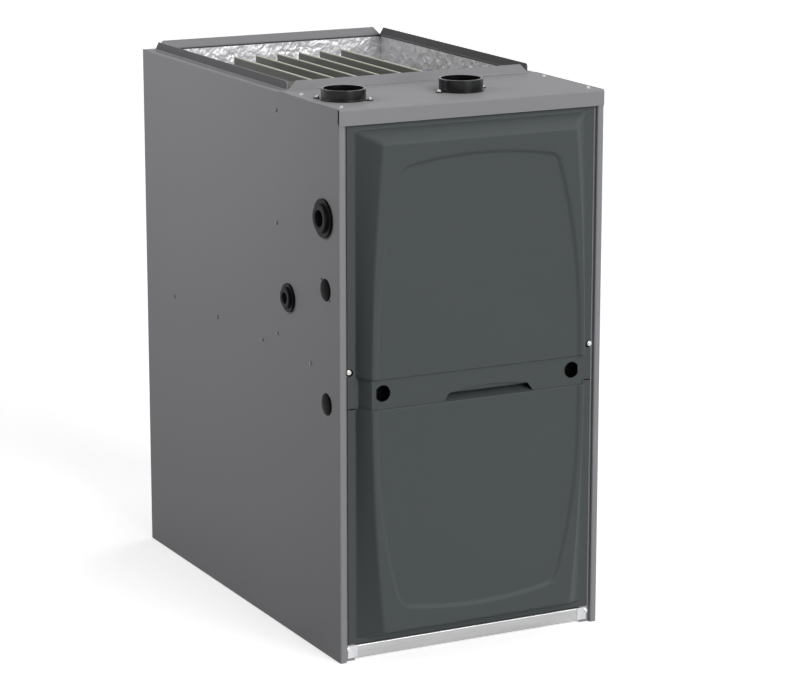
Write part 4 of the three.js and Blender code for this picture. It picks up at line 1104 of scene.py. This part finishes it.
screw = model_screw()
for name, place, facing in screw_seats:
    twin = copy_of(screw)
    seat(twin, place, facing)
    finish_piece(twin, name, "zinc_steel", "cabinet", material=dull_zinc if "side" in name else zinc_steel)
bpy.data.objects.remove(screw)
# Painted shade: a black disc behind each door screw makes its notch look dark.
for side, word in sides:
    notch_shade_disc = disc(notch_radius - 0.1, 1.2, corners=40)
    soften(notch_shade_disc, 0.2)
    seat(notch_shade_disc, (side * screw_across, door_back + 0.2, screw_height), (0, -1, 0))
    finish_piece(notch_shade_disc, f"{word}_door_screw_shade_disc", "black_rubber", "cabinet")
print(len(screw_seats), "screws")

# %% [markdown]
# ## The room
# The furnace stands on a white floor. What the camera and mirrors see of it is lifted to pure white by some
# emission, and keeps the soft shadow. To the rays that light the furnace the floor is a dark grey, so that it
# doesn't lift the sides.

# %% Floor
floor_paint = Finish("floor_paint", (0.95, 0.95, 0.95), 1.0, specular=0.0)
seen = floor_paint.seen_directly()
floor_paint.feed(
    Base_Color=floor_paint.mix(seen, (0.22, 0.22, 0.22), floor_paint.colour),
    Emission_Color=floor_paint.mix(seen, (0, 0, 0), (0.5, 0.5, 0.5)),
)
floor_paint.shader.inputs["Emission Strength"].default_value = 1.0
bpy.ops.mesh.primitive_plane_add(size=60, location=(0, 0, -0.0005))
floor = bpy.context.object
floor.name = "floor"
floor.data.materials.append(floor_paint.material)

# %% [markdown]
# Two suns, two lamps and a dim sky light it. The sun in front is low and lights the doors evenly. The sun on the
# right is high and very wide, and lays the soft shadow to the left. A large lamp high on the right makes the doors
# a little brighter towards the top, and a smaller one on the left does the same for the side panel.

# %% Lamps and world
world = bpy.data.worlds.new("studio")
bpy.context.scene.world = world
world.use_nodes = True
sky = Graph(world.node_tree)
shade = sky.mix(sky.seen_directly(), (0.16, 0.16, 0.16), (1, 1, 1))
sky.plug(shade, world.node_tree.nodes["Background"].inputs["Color"])


def lamp(kind, name, place, target, energy, **settings):
    """A lamp at a place, turned towards a target."""
    data = bpy.data.lights.new(name, kind)
    data.energy = energy
    for setting, value in settings.items():
        setattr(data, setting, value)
    item = bpy.data.objects.new(name, data)
    item.location = place
    item.rotation_euler = (Vector(target) - Vector(place)).to_track_quat("-Z", "Y").to_euler()
    bpy.context.scene.collection.objects.link(item)


lamp("SUN", "front_sun", (0.6, -2.8, 1.1), (0, 0, 0), 1.95, angle=math.radians(40))
lamp("SUN", "right_sun", (1.9, 0.1, 2.2), (0, 0, 0), 0.78, angle=math.radians(55))
lamp("AREA", "high_right", (1.0, -2.0, 2.4), (0, -0.3, 0.6), 8, size=1.6)
lamp("AREA", "left_side", (-1.3, 0.3, 1.4), (-0.23, 0, 0.7), 8, size=0.8)

bpy.context.scene.view_settings.view_transform = "Standard"
